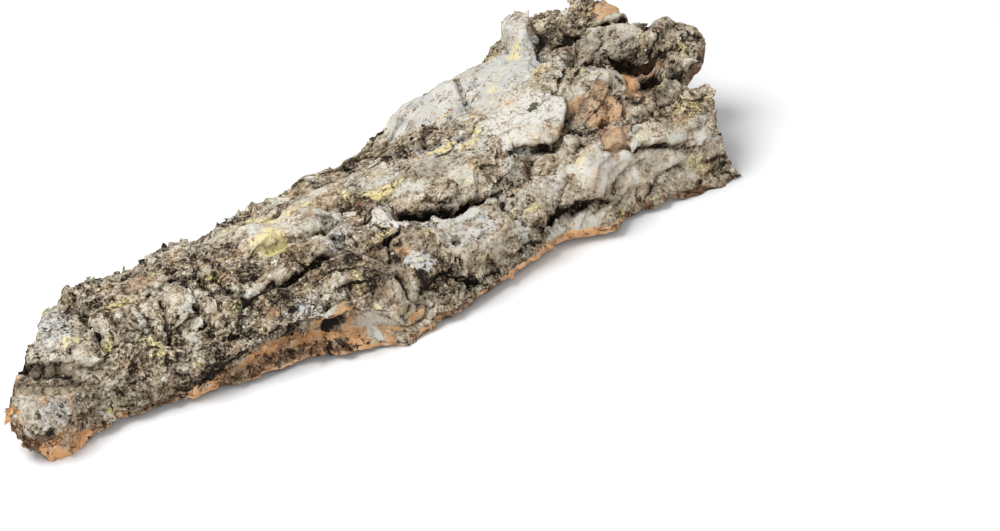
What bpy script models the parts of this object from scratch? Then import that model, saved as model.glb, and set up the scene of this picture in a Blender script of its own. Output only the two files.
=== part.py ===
# Cork bark panel: one curved slab of natural cork bark, lying on its hollow side.
# The long way runs along X, the near long edge is at -Y, and the bark side is up.
import bpy
import bmesh
import numpy as np

mm = 0.001                  # every length below is in millimetres
panelName = "cork_bark_panel"
trianglesWanted = 10500     # the carved mesh is thinned to about this many triangles
stepsAlong = 250            # grid cells along the slab
stepsAcross = 104           # grid cells across it
edgeLayers = 5              # rows of cells down the broken edge
archPower = 2.2             # how square the arch is across the slab

# Outline in plan, x from the left end: the near edge, the far edge and the two broken ends.
nearEdge = [(-2, 16), (6, 14), (14, 9), (24, 8), (36, 10), (52, 11), (68, 8), (84, 5), (100, 0),
            (127, -9), (150, -11), (167, -22), (182, -28), (196, -34), (212, -31), (229, -33),
            (254, -29), (280, -25), (298, -21), (312, -25), (329, -34), (340, -27), (360, -31),
            (390, -36), (415, -38), (440, -38)]
farEdge = [(0, 80), (30, 86), (60, 91), (100, 93), (150, 93), (200, 95), (250, 98), (275, 104),
           (300, 112), (335, 117), (352, 124), (370, 138), (400, 148), (440, 144)]
leftEnd = [(0, 14), (0.1, 8), (0.17, 5), (0.23, 5), (0.3, 8), (0.39, 13), (0.45, 18), (0.47, 33),
           (0.52, 38), (0.6, 45), (0.7, 52), (0.8, 61), (0.9, 68), (1, 70)]
rightEnd = [(0, 408), (0.06, 405), (0.12, 405), (0.17, 413), (0.21, 416), (0.25, 407), (0.28, 417),
            (0.32, 430), (0.38, 436), (0.42, 427), (0.46, 414), (0.5, 412), (0.56, 412), (0.62, 406),
            (0.7, 402), (0.8, 398), (0.9, 393), (1, 386)]

# The arch: height of the bark side over the floor, where its ridge runs, and its half width.
ridgeHeight = [(0, 30), (40, 38), (65, 41), (100, 38), (150, 37), (200, 37), (250, 38), (290, 42),
               (320, 45), (350, 47), (380, 50), (410, 51), (440, 50)]
ridgeY = [(0, 44), (60, 43), (200, 36), (260, 37), (300, 43), (350, 57), (440, 62)]
halfWidth = [(0, 42), (60, 46), (100, 49), (200, 64), (260, 66), (300, 72), (350, 88), (440, 94)]

# Thickness of the bark, its share at the near lip, and how the broken near face leans.
thickness = [(0, 12), (100, 13), (200, 14), (300, 16), (440, 16)]
lipShare = [(0, 0.55), (60, 0.5), (85, 0.4), (110, 0.5), (135, 1), (180, 0.9), (205, 0.5),
            (235, 0.4), (260, 0.35), (335, 0.35), (350, 0.2), (440, 0.2)]
lipLean = [(0, 0.35), (90, 0.25), (120, 0.6), (150, 1.1), (180, 0.9), (205, 0.5), (235, 0.4), (330, 0.35),
           (350, 0), (440, 0)]
lipUpright = [(0, 0.6), (60, 0.5), (100, 0.5), (120, 1), (180, 0.9), (205, 0.5), (240, 0.3), (335, 0.2),
              (350, 0.6), (440, 0.6)]

# How deep the broken near face is hollowed between its two edges.
rimRecess = [(0, 0), (60, 0.4), (110, 0.5), (122, -4.5), (150, -5), (190, -4), (204, -1), (250, 0),
             (440, 0)]

ragged = 1.8                # how far the broken edges wander from the outline
crumbled = 1.6              # how far crumbs of cork stand out of the broken edge faces

# Low spots of the two long edges, where the slab touches the floor, and the lift between them.
nearFeet = (20, 202, 392)
farFeet = (82, 250, 384)
edgeLift = 2.4
footReach = 16              # how far each low spot runs along its edge
footCut = 2.6               # depth of the flat worn off each low spot
thinnestLip = 1.8           # thickness of the thinnest overhanging edge
slabMiddle = (220.114, 53.934, 0)   # middle of the finished slab in the outline's own measure

# Raised plates and lobes of the bark: x, v, half length, half width, turn in degrees, rise,
# soft share of the radius, calm (1 smooth, -1 rougher). v runs across the slab, from the ridge.
plates = [
    (20, -27, 19, 13, -15, 5, 0.45, 0.75), (30, -13, 21, 6, -28, -3.5, 0.4, 0.95),
    (46, 6, 17, 22, -8, 3, 0.12, 0.95), (66, 31, 7, 6, 0, 7, 1, 0), (78, 29, 14, 10, -8, 5.5, 0.7, 0.1),
    (80, 2, 14, 22, -10, 1, 0.4, 0.75), (104, 6, 12, 22, -12, 2, 0.25, 0.75),
    (78, -28, 14, 12, -20, 2, 0.3, 0.7), (126, -6, 13, 20, -12, 2, 0.25, 0.7),
    (100, -34, 9, 12, -25, 2, 0.4, 0.5), (124, -34, 16, 10, -15, -2, 0.6, -0.4),
    (146, 20, 24, 13, -5, 2.5, 0.4, 0.7), (174, 8, 26, 15, -8, 3.5, 0.35, 0.85),
    (164, -22, 14, 8, -15, -3.5, 0.6, -0.4), (150, -44, 20, 9, -10, 2.5, 0.4, 0.3),
    (184, -14, 10, 9, 0, 4.5, 0.6, 0.6), (203, -10, 9, 10, 0, 2.5, 0.5, 0.3),
    (206, 14, 24, 16, 0, 2.5, 0.5, 0.7), (223, -14, 8, 7, 0, 5, 0.8, 0.8),
    (212, -28, 8, 7, 0, 3, 0.6, 0.5), (192, -36, 17, 10, -25, 3, 0.4, 0.3),
    (185, -65, 15, 9, 0, 5, 0.6, 0.9), (240, 4, 32, 15, -10, 2.5, 0.3, 0.8),
    (265, -13, 24, 14, -18, 2.5, 0.3, 0.7), (250, -46, 31, 16, -24, 4.5, 0.3, 0.8),
    (218, -48, 7, 11, 0, 4.5, 0.6, 0.8), (300, 34, 20, 19, 10, 3.5, 0.5, 1),
    (290, 54, 16, 10, -15, 5, 0.8, 0.7), (334, 20, 28, 20, -15, 3.5, 0.45, 1),
    (318, -10, 30, 16, -30, 1.2, 0.4, 0.95), (322, 46, 20, 16, 0, 3, 0.6, 0.8),
    (350, 68, 15, 18, 0, -14, 0.6, 0.3), (363, 31, 11, 16, -15, 14.5, 0.35, 0.7),
    (370, 10, 12, 13, 0, -2.5, 0.6, -1), (312, -40, 15, 6, -35, -4.5, 0.5, 0.6),
    (348, -41, 14, 10, -15, -5.5, 0.5, 0.1), (302, -48, 18, 8, -10, 2.5, 0.4, 0.6),
    (338, -64, 25, 11, -15, 4.5, 0.4, 0.9), (352, -57, 7, 5, 0, 3.5, 0.5, 0.3),
    (350, -83, 11, 8, -10, 4.5, 0.7, 0.9), (317, -77, 19, 8, -8, 3.5, 0.3, 0.6),
    (376, -72, 20, 13, -15, 3, 0.4, 0.7), (372, -94, 20, 12, -10, 2.5, 0.4, 0.5),
    (398, -84, 14, 16, 0, 2.5, 0.4, 0.4), (384, -52, 18, 8, -10, 3, 0.4, 0.4),
    (391, -14, 21, 11, -28, 5, 0.4, 1), (373, -28, 8, 5.5, -20, 3.5, 0.5, 1),
    (418, -34, 15, 23, -10, 5.5, 0.35, -0.1), (404, 8, 16, 12, 0, 3, 0.45, 0.2)]

# Furrows: points (x, v), half width, depth, overhang of the upper side, step up on that side.
# A furrow of negative depth is a ridge.
furrows = [
    ([(8, 6), (18, 1), (29, -5), (37, -10), (48, -15), (60, -18)], 3, 1.5, 1.8, 1.5),
    ([(5, -14), (7, -22), (9, -28), (12, -33)], 1.6, 4, 0, 0),
    ([(72, 24), (66, 12), (62, 2), (62, -8), (60, -17)], 2, 6, 0, 0),
    ([(102, 0), (96, -14), (87, -27)], 1.4, 4, 0, 0),
    ([(116, 4), (113, -14), (110, -32)], 1.6, 4.5, 0, 0),
    ([(84, 12), (80, -4), (80, -20)], 1.2, 2.5, 0, 0),
    ([(92, 16), (89, 2), (88, -14), (82, -26)], 0.9, 2, 0, 0),
    ([(126, 10), (122, -6), (121, -22), (117, -32)], 1.1, 2.5, 0, 0),
    ([(134, 12), (131, -2), (130, -14)], 1, 2.5, 0, 0),
    ([(76, 22), (98, 8), (118, 2), (140, -6), (158, -10)], 1.6, 2.6, 1.5, 1.2),
    ([(70, -34), (92, -44), (112, -44), (130, -46)], 2.6, 4, 1.5, 1.5),
    ([(130, -18), (150, -18), (166, -18), (180, -22), (196, -22)], 3, 5.5, 3.5, 2.5),
    ([(156, 0), (176, -4), (194, -4), (212, -4)], 2, 3.5, 2, 1.5),
    ([(228, -12), (234, -17), (240, -21), (246, -24), (252, -27), (258, -28), (264, -30), (270, -32),
      (277, -34), (283, -36)], 3.6, 10, 6, 3),
    ([(207, -40), (211, -32), (218, -26), (228, -23)], 2.2, 5, 2, 1.5),
    ([(207, -44), (208, -56), (211, -66)], 1.8, 4, 0, 0),
    ([(222, -52), (231, -58), (240, -64), (248, -70)], 1.8, 4.5, 2, 1),
    ([(237, -52), (238, -62), (239, -72)], 1, 3, 0, 0),
    ([(270, -28), (277, -38), (279, -50), (283, -60)], 1.4, 3, 0, 0),
    ([(282, -61), (292, -60), (300, -60), (308, -63), (315, -66), (322, -71), (330, -77), (337, -81)],
     4.2, 6.5, 3.5, 2.5),
    ([(322, 44), (314, 28), (307, 12)], 1.6, 4.5, 1.5, 0.5),
    ([(266, 14), (284, 4), (300, 0)], 2.2, 3, 1.5, 1),
    ([(304, -19), (309, -23), (316, -29), (325, -36), (334, -33), (342, -28), (348, -16)],
     4.5, 7, 5, 1.5),
    ([(370, -10), (378, -5), (388, -3), (397, -5), (404, -13), (408, -24), (410, -36)],
     5, -6, 0, 0),
    ([(382, -19), (387, -22), (393, -27), (398, -33), (401, -38)], 7, 11, 7, 2),
    ([(398, 0), (390, -1), (380, 0), (371, -6), (364, -12)], 2.5, 6, 0, 0),
    ([(375, -9), (370, -14), (366, -22)], 3, -2.5, 0, 0),
    ([(424, 2), (417, -8), (412, -18)], 2.5, 6, 0, 0),
    ([(344, -18), (356, -26), (368, -31), (377, -37), (372, -45)], 4, -4.5, 0, 0),
    ([(337, -57), (346, -61), (352, -64), (360, -68), (368, -73), (378, -78), (390, -82)], 2, 3.5, 3, 2),
    ([(378, 16), (390, 6), (404, -2), (418, -6), (428, -12)], 3, 7, 3, 2),
    ([(362, 18), (362, 6), (358, -6)], 3, 5, 1, 1),
    ([(406, -48), (412, -56), (414, -62)], 3, 5, 0, 0),
    ([(352, -90), (366, -86), (382, -90)], 1.6, 2.5, 1.5, 1),
    ([(158, -57), (166, -53), (171, -50), (175, -53), (176, -60), (174, -70)], 2.2, -3, 0, 0)]

# Layers of bark that end in overhanging steps: size along and across, step height, overhang.
layers = [(46, 24, 2.6, 3.2, 501)]

# Knot holes: x, v, radius, depth, height of the raised ring.
knots = [(16, -31, 3, 3.5, 0), (243, -46, 3, 3.5, 0.8), (172, -60, 4, 5, 1.2), (341, -45, 2.4, 4.5, 0),
         (355, -47, 3, 6, 0.6), (391, -44, 6, 9, 2.5), (404, -48, 3, 4, 0),
         (186, -20, 2, 2.5, 0.4), (212, -27, 2, 4, 0.4)]


def ease(start, end, value):
    share = np.clip((value - start) / (end - start), 0, 1)
    return share * share * (3 - 2 * share)


def straight(table, where):
    """Read a table of points with straight runs between them."""
    spots, values = np.array(table, float).T
    return np.interp(where, spots, values)


def flowing(table, where):
    """Read a table of points with a smooth curve through them."""
    spots, values = np.array(table, float).T
    slopes = np.gradient(values, spots)
    where = np.clip(where, spots[0], spots[-1])
    left = np.clip(np.searchsorted(spots, where) - 1, 0, len(spots) - 2)
    gap = spots[left + 1] - spots[left]
    share = (where - spots[left]) / gap
    back = 1 - share
    ends = values[left] * (1 + 2 * share) * back ** 2 + values[left + 1] * share ** 2 * (3 - 2 * share)
    return ends + gap * share * back * (slopes[left] * back - slopes[left + 1] * share)


def scatter(i, j, salt):
    """A fixed random value from 0 to 1 for each whole-numbered square."""
    mask = 0xffffffff
    mixed = (i.astype(np.int64) * 374761393 + j.astype(np.int64) * 668265263 + salt * 974634777) & mask
    mixed = ((mixed ^ (mixed >> 13)) * 1274126177) & mask
    mixed = ((mixed ^ (mixed >> 15)) * 2246822519) & mask
    return (mixed ^ (mixed >> 16)) / (mask + 1.0)


def noise(x, y, salt):
    """Smooth noise from about -1 to 1, with swells about one unit apart."""
    i = np.floor(x)
    j = np.floor(y)
    fx = x - i
    fy = y - j
    u = fx ** 3 * (fx * (fx * 6 - 15) + 10)
    v = fy ** 3 * (fy * (fy * 6 - 15) + 10)

    def corner(a, b):
        angle = scatter(i + a, j + b, salt) * 2 * np.pi
        return np.cos(angle) * (fx - a) + np.sin(angle) * (fy - b)

    low = corner(0, 0) * (1 - u) + corner(1, 0) * u
    high = corner(0, 1) * (1 - u) + corner(1, 1) * u
    return 1.5 * (low * (1 - v) + high * v)


def layeredNoise(x, y, size, salt, layers=3):
    total = 0
    strength = 1
    for layer in range(layers):
        total = total + strength * noise(x / size, y / size, salt + layer)
        strength *= 0.5
        size /= 2.03
    return total


def cells(x, y, salt):
    """Irregular cells: distance to the middle, to the border, a random value and a tilt."""
    i = np.floor(x)
    j = np.floor(y)
    middle = np.full(x.shape, 9.0)
    second = middle.copy()
    tag = np.zeros(x.shape)
    tilt = np.zeros(x.shape)
    for a in (-1, 0, 1):
        for b in (-1, 0, 1):
            px = i + a + 0.12 + 0.76 * scatter(i + a, j + b, salt)
            py = j + b + 0.12 + 0.76 * scatter(i + a, j + b, salt + 7)
            away = np.hypot(px - x, py - y)
            angle = 2 * np.pi * scatter(i + a, j + b, salt + 19)
            nearer = away < middle
            second = np.where(nearer, middle, np.minimum(second, away))
            tag = np.where(nearer, scatter(i + a, j + b, salt + 13), tag)
            tilt = np.where(nearer, (px - x) * np.cos(angle) + (py - y) * np.sin(angle), tilt)
            middle = np.where(nearer, away, middle)
    return middle, second - middle, tag, tilt


def alongLine(x, v, points):
    """Distance from a line of points, the side, the share along it, and its sideways direction."""
    spots = np.array(points, float)
    lengths = np.hypot(*(spots[1:] - spots[:-1]).T)
    starts = np.concatenate([[0], np.cumsum(lengths)])
    nearest = np.full(x.shape, 1e9)
    side, share, sideX, sideV = (np.zeros(x.shape) for _ in range(4))
    for first, last, length, start in zip(spots[:-1], spots[1:], lengths, starts):
        wayX, wayV = (last - first) / length
        reach = np.clip((x - first[0]) * wayX + (v - first[1]) * wayV, 0, length)
        offX = x - first[0] - wayX * reach
        offV = v - first[1] - wayV * reach
        away = np.hypot(offX, offV)
        nearer = away < nearest
        nearest = np.where(nearer, away, nearest)
        side = np.where(nearer, np.sign(wayX * offV - wayV * offX), side)
        share = np.where(nearer, (start + reach) / starts[-1], share)
        sideX = np.where(nearer, wayV, sideX)
        sideV = np.where(nearer, -wayX, sideV)
    return nearest, side, share, sideX, sideV


def layerSteps(x, v, sizeX, sizeV, salt):
    """Level of a pile of bark layers, and the sideways reach of the edges where they end."""
    def level(dx, dv):
        return 1.6 * layeredNoise((x + dx) / sizeX, (v + dv) / sizeV, 1, salt, 2)

    here = level(0, 0)
    slopeX = (level(0.5, 0) - here) / 0.5
    slopeV = (level(0, 0.5) - here) / 0.5
    steep = np.hypot(slopeX, slopeV) + 0.004
    along = here - np.floor(here)
    steps = np.floor(here) + ease(0, 0.16, along) - 0.45 * along
    lip = ease(0, 0.14, along) * (1 - ease(0.14, 0.6, along))
    return steps, -lip * slopeX / steep, -lip * slopeV / steep


def outline(s, t):
    """Plan position for s from 0 to 1 along the slab and t from 0 to 1 across it."""
    left = straight(leftEnd, t) + ragged * layeredNoise(t * 11, t, 1, 83, 2)
    right = straight(rightEnd, t) + ragged * layeredNoise(t * 17, t, 1, 87, 2)
    x = left * (1 - s) + right * s
    near = straight(nearEdge, x) + ragged * layeredNoise(x, x * 0, 15, 81)
    far = flowing(farEdge, x) + 1.5 * ragged * layeredNoise(x, x * 0, 21, 85)
    return x, near + (far - near) * t


def arch(x, y):
    """Hollow side: its height, its slope across, and the distance v from the ridge."""
    half = flowing(halfWidth, x)
    rise = flowing(ridgeHeight, x) - flowing(thickness, x)
    q = (y - flowing(ridgeY, x)) / half
    height = rise * (1 - np.abs(q) ** archPower)
    slope = -rise * archPower * np.abs(q) ** (archPower - 1) * np.sign(q) / half
    steep = archPower * rise / half
    stretch = 1 + steep ** 2 * np.abs(q) ** (2 * archPower - 2) / (4 * archPower - 2)
    return height, slope, half * q * stretch


def unit(vectors):
    return vectors / np.linalg.norm(vectors, axis=-1, keepdims=True)


def outward(x, t, slope):
    """Way from the hollow side to the bark side: square to the arch, but leaning at the lips."""
    level = np.zeros(x.shape)
    square = unit(np.stack([level, -slope, level + 1], -1))
    lip = unit(np.stack([level, straight(lipLean, x), level + 1], -1))
    farLip = unit(np.stack([level, level - 0.2, level + 1], -1))
    upright = straight(lipUpright, x)[..., None]
    lip = lip * upright + square * (1 - upright)
    fromNear = ease(0, 0.12, t)[..., None]
    fromFar = ease(0, 0.1, 1 - t)[..., None]
    way = (square * fromNear + lip * (1 - fromNear)) * fromFar + farLip * (1 - fromFar)
    return unit(way)


def barkThickness(x, t):
    nearShare = 1 - (1 - straight(lipShare, x)) * (1 - ease(0, 0.16, t))
    farShare = 1 - 0.45 * (1 - ease(0, 0.1, 1 - t))
    return flowing(thickness, x) * nearShare * farShare


def relief(x, v):
    """Height of the bark over its mean surface, and the sideways reach of overhanging lips."""
    wavyX = x + 4 * layeredNoise(x, v, 22, 301, 2)
    wavyV = v + 4 * layeredNoise(x, v, 22, 305, 2)
    height = 3.2 * layeredNoise(x, v * 1.5, 62, 11, 2)
    calm = np.zeros(x.shape)
    for px, pv, halfLength, halfSpan, turn, rise, soft, quiet in plates:
        c = np.cos(np.radians(turn))
        s = np.sin(np.radians(turn))
        dx = wavyX - px
        dv = wavyV - pv
        radius = np.hypot((dx * c + dv * s) / halfLength, (dv * c - dx * s) / halfSpan)
        share = 1 - ease(1 - soft, 1 + 0.25 * soft, radius)
        height = height + rise * share
        calm = np.where(quiet > 0, np.maximum(calm, quiet * share), calm + quiet * share)
    calm = np.clip(calm, -1, 1)
    rough = 0.42 + 0.3 * layeredNoise(x, v, 38, 63, 2)
    rough = np.clip(rough, 0.2, 0.75) * (1 - 0.8 * np.clip(calm, 0, 1)) + 0.7 * np.clip(-calm, 0, 1)

    # Plates stand across the slab at its narrow end and lie along it elsewhere.
    upright = 1 - ease(150, 230, x)
    _, border, tag, tilt = cells(wavyX / (24 - 9 * upright) + 3.1, wavyV / (14 + 7 * upright) + 1.7, 21)
    crack = np.exp(-(border / 0.13) ** 2) * (0.4 + 0.6 * ease(-0.2, 0.5, layeredNoise(x, v, 35, 41, 2)))
    height = height + rough * ((tag - 0.5) * 5 + 4.5 * tilt - 2.4 * crack)
    height = height + (0.2 + rough) * 3 * layeredNoise(x, v * 1.15, 30, 15, 2)
    smallX = x + 2 * layeredNoise(x, v, 9, 311, 2)
    smallV = v + 2 * layeredNoise(x, v, 9, 315, 2)
    _, border, tag, tilt = cells(smallX / 10.5, smallV / 7.5, 23)
    crack = np.exp(-(border / 0.16) ** 2) * (tag > 0.25)
    height = height + rough * ((tag - 0.5) * 1.6 + 1.4 * tilt - 1.7 * crack)

    reachX = np.zeros(x.shape)
    reachV = np.zeros(x.shape)
    for sizeX, sizeV, drop, overhang, salt in layers:
        steps, leanX, leanV = layerSteps(x, v, sizeX, sizeV, salt)
        height = height + (0.25 + rough) * drop * (steps + 0.2)
        reachX = reachX + (0.25 + rough) * overhang * leanX
        reachV = reachV + (0.25 + rough) * overhang * leanV
    lineX = x + 1.6 * layeredNoise(x, v, 12, 331, 3)
    lineV = v + 1.6 * layeredNoise(x, v, 12, 335, 3)
    for points, width, depth, overhang, step in furrows:
        away, side, share, sideX, sideV = alongLine(lineX, lineV, points)
        taper = ease(0, 0.12, share) * ease(0, 0.12, 1 - share)
        upper = np.maximum(away * side, 0)
        lower = np.maximum(-away * side, 0)
        if overhang > 0:
            wall = max(0.25 * width, thinnestLip)
            drop = 1 - 0.78 * ease(0, wall, upper) - 0.22 * ease(2 * wall, 2.8 * wall, upper)
            reach = overhang * ease(0.8 * wall, 2 * wall, upper) * (1 - ease(2.8 * wall, 4 * width, upper))
        else:
            wall = width
            drop = np.exp(-(upper / width) ** 2)
            reach = 0
        raised = ease(wall, wall * 2.6, upper) * (1 - ease(width * 2, width * 8, upper))
        height = height + taper * (step * raised - depth * drop * np.exp(-(lower / width) ** 2))
        reachX = reachX + taper * reach * sideX
        reachV = reachV + taper * reach * sideV
    for px, pv, radius, depth, ring in knots:
        away = np.hypot(lineX - px, (lineV - pv) * 1.15)
        height = height - depth * (1 - ease(0.55 * radius, 1.15 * radius, away))
        height = height + ring * np.exp(-((away - 1.35 * radius) / (0.4 * radius)) ** 2)
    height = height + rough * (1.4 * layeredNoise(x, v, 11, 51, 3) + 0.25)
    return height, reachX, reachV


def feet(x, spots):
    """1 at each low spot of an edge, 0 between them."""
    return np.clip(sum(np.exp(-((x - spot) / footReach) ** 2) for spot in spots), 0, 1)


barkLook = {"colour": (0.42, 0.38, 0.32, 1), "roughness": 0.9, "metallic": 0}


def clearScene():
    for item in list(bpy.data.objects):
        bpy.data.objects.remove(item, do_unlink=True)


def surface(s, t, depth):
    """Point of the slab: depth is 0 on the hollow side and 1 on the bark side."""
    x, y = outline(s, t)
    height, slope, v = arch(x, y)
    nearHeight = arch(x, straight(nearEdge, x))[0]
    farHeight = arch(x, flowing(farEdge, x))[0]
    nearLift = edgeLift * (1 - feet(x, nearFeet)) - footCut * feet(x, nearFeet)
    farLift = edgeLift * (1 - feet(x, farFeet)) - footCut * feet(x, farFeet)
    height = height + (nearLift - nearHeight) * (1 - t) ** 3 + (farLift - farHeight) * t ** 3
    height = height + 1.3 * layeredNoise(x, y * 2, 34, 71, 3) * ease(0, 0.08, t) * ease(0, 0.08, 1 - t)
    rise, reachX, reachV = relief(x, v)
    edgeFade = 0.25 + 0.75 * np.minimum(ease(0, 0.05, t), ease(0, 0.05, 1 - t))
    level = np.zeros(x.shape)
    uphill = unit(np.stack([level, level + 1, slope], -1))
    inner = np.stack([x, y, height], -1)
    bark = np.maximum(barkThickness(x, t) + rise * edgeFade, 3)
    point = inner + outward(x, t, slope) * (bark * depth)[..., None]
    point = point + uphill * (reachV * depth)[..., None]
    point[..., 0] += reachX * depth
    crumbs = crumbled * np.maximum(layeredNoise(x + y, y + 14 * depth, 9, 91), -0.2) * np.sin(np.pi * depth)
    point[..., 0] += crumbs * ((s > 0.999).astype(float) - (s < 0.001))
    recess = straight(rimRecess, x) * np.sin(np.pi * depth)
    point[..., 1] += (crumbs - recess) * ((t > 0.999).astype(float) - (t < 0.001))
    return point


def barkMaterial():
    material = bpy.data.materials.new("corkBark")
    material.use_nodes = True
    shader = material.node_tree.nodes["Principled BSDF"]
    shader.inputs["Base Color"].default_value = barkLook["colour"]
    shader.inputs["Roughness"].default_value = barkLook["roughness"]
    shader.inputs["Metallic"].default_value = barkLook["metallic"]
    return material


def slabBlock():
    """A closed block of cells one unit each way, ready to be bent into the slab."""
    work = bmesh.new()
    bmesh.ops.create_grid(work, x_segments=stepsAlong, y_segments=stepsAcross, size=0.5)
    top = work.faces[:]
    for layer in range(edgeLayers):
        grown = bmesh.ops.extrude_face_region(work, geom=top)["geom"]
        if layer > 0:
            bmesh.ops.delete(work, geom=top, context="FACES")
        top = [item for item in grown if isinstance(item, bmesh.types.BMFace)]
        points = [item for item in grown if isinstance(item, bmesh.types.BMVert)]
        bmesh.ops.translate(work, verts=points, vec=(0, 0, 1 / edgeLayers))
    bmesh.ops.recalc_face_normals(work, faces=work.faces[:])
    return work


def buildSlab(collection):
    work = slabBlock()
    place = np.array([vertex.co[:] for vertex in work.verts])
    points = surface(place[:, 0] + 0.5, place[:, 1] + 0.5, place[:, 2])
    for vertex, point in zip(work.verts, (points - slabMiddle) * mm):
        vertex.co = point
    mesh = bpy.data.meshes.new(panelName)
    work.to_mesh(mesh)
    work.free()
    slab = bpy.data.objects.new(panelName, mesh)
    slab.data.materials.append(barkMaterial())
    collection.objects.link(slab)
    return slab


def thin(slab):
    """Carve the slab from fewer, larger faces."""
    slab.data.calc_loop_triangles()
    fewer = slab.modifiers.new("fewer faces", "DECIMATE")
    fewer.ratio = trianglesWanted / len(slab.data.loop_triangles)


def levelFeet(slab, collection):
    """Wear the low spots of the edges flat, so that the slab stands on them."""
    bpy.ops.mesh.primitive_cube_add(size=1, location=(0, 0, -0.05))
    floor = bpy.context.object
    floor.name = "floor_cut"
    floor.scale = (0.8, 0.5, 0.1)
    floor.hide_render = True
    floor.display_type = "WIRE"
    for owner in list(floor.users_collection):
        owner.objects.unlink(floor)
    collection.objects.link(floor)
    cut = slab.modifiers.new("level feet", "BOOLEAN")
    cut.operation = "DIFFERENCE"
    cut.solver = "EXACT"
    cut.object = floor


clearScene()
parts = bpy.data.collections.new("cork bark panel")
cutters = bpy.data.collections.new("cutters")
bpy.context.scene.collection.children.link(parts)
bpy.context.scene.collection.children.link(cutters)
slab = buildSlab(parts)
thin(slab)
levelFeet(slab, cutters)
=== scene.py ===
import math

import bpy
import numpy as np
from mathutils import Matrix, Vector
from mathutils.kdtree import KDTree


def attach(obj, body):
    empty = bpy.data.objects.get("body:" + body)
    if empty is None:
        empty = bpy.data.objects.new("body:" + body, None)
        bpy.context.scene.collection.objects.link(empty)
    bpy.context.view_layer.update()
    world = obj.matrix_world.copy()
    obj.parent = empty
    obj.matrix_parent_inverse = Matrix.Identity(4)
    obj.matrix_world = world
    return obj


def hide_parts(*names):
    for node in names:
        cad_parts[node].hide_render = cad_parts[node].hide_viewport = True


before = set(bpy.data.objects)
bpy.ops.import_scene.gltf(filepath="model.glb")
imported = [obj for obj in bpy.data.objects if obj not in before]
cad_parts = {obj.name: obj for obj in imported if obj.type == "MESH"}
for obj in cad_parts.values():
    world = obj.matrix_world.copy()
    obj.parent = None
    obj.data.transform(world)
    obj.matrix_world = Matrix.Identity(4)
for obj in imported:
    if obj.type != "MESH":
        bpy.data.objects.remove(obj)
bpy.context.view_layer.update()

mm = 0.001  # sizes below are in millimetres

archPower = 2.2  # how square the arch is across the slab

# Outline in plan, x from the left end: the near edge, the far edge and the two broken ends.
nearEdge = [
    (-2, 16), (6, 14), (14, 9), (24, 8), (36, 10), (52, 11), (68, 8), (84, 5), (100, 0), (127, -9),
    (150, -11), (167, -22), (182, -28), (196, -34), (212, -31), (229, -33), (254, -29), (280, -25),
    (298, -21), (312, -25), (329, -34), (340, -27), (360, -31), (390, -36), (415, -38), (440, -38)]
farEdge = [
    (0, 80), (30, 86), (60, 91), (100, 93), (150, 93), (200, 95), (250, 98), (275, 104), (300, 112),
    (335, 117), (352, 124), (370, 138), (400, 148), (440, 144)]
leftEnd = [
    (0, 14), (0.1, 8), (0.17, 5), (0.23, 5), (0.3, 8), (0.39, 13), (0.45, 18), (0.47, 33), (0.52, 38),
    (0.6, 45), (0.7, 52), (0.8, 61), (0.9, 68), (1, 70)]
rightEnd = [
    (0, 408), (0.06, 405), (0.12, 405), (0.17, 413), (0.21, 416), (0.25, 407), (0.28, 417), (0.32, 430),
    (0.38, 436), (0.42, 427), (0.46, 414), (0.5, 412), (0.56, 412), (0.62, 406), (0.7, 402), (0.8, 398),
    (0.9, 393), (1, 386)]

# The arch: height of the bark side over the floor, where its ridge runs, and its half width.
ridgeHeight = [
    (0, 30), (40, 38), (65, 41), (100, 38), (150, 37), (200, 37), (250, 38), (290, 42), (320, 45),
    (350, 47), (380, 50), (410, 51), (440, 50)]
ridgeY = [(0, 44), (60, 43), (200, 36), (260, 37), (300, 43), (350, 57), (440, 62)]
halfWidth = [(0, 42), (60, 46), (100, 49), (200, 64), (260, 66), (300, 72), (350, 88), (440, 94)]

# Thickness of the bark, its share at the near lip, how the broken near face leans, and how deep it is
# hollowed between its two edges.
thickness = [(0, 12), (100, 13), (200, 14), (300, 16), (440, 16)]
lipShare = [
    (0, 0.55), (60, 0.5), (85, 0.4), (110, 0.5), (135, 1), (180, 0.9), (205, 0.5), (235, 0.4),
    (260, 0.35), (335, 0.35), (350, 0.2), (440, 0.2)]
lipLean = [
    (0, 0.35), (90, 0.25), (120, 0.6), (150, 1.1), (180, 0.9), (205, 0.5), (235, 0.4), (330, 0.35),
    (350, 0), (440, 0)]
lipUpright = [
    (0, 0.6), (60, 0.5), (100, 0.5), (120, 1), (180, 0.9), (205, 0.5), (240, 0.3), (335, 0.2),
    (350, 0.6), (440, 0.6)]
rimRecess = [
    (0, 0), (60, 0.4), (110, 0.5), (122, -4.5), (150, -5), (190, -4), (204, -1), (250, 0), (440, 0)]

ragged = 1.8                # how far the broken edges wander from the outline
crumbled = 1.6              # how far crumbs of cork stand out of the broken edge faces
chunkDepth = 1.8            # how far its chunks differ, and how deep the splits between them are
splitDepth = 1.6
hollowRipple = 1.3          # height of the ripples of the hollow side
thinnestBark = 3

# Low spots of the two long edges, where the slab touches the floor, and the lift between them.
nearFeet = (20, 202, 392)
farFeet = (82, 250, 384)
edgeLift = 2.4
footReach = 16              # how far each low spot runs along its edge
footCut = 2.6               # depth of the flat worn off each low spot
thinnestLip = 1.1           # thickness of the thinnest overhanging edge
slabMiddle = (220.114, 53.934, 0)   # middle of the finished slab in the outline's own measure

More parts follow.
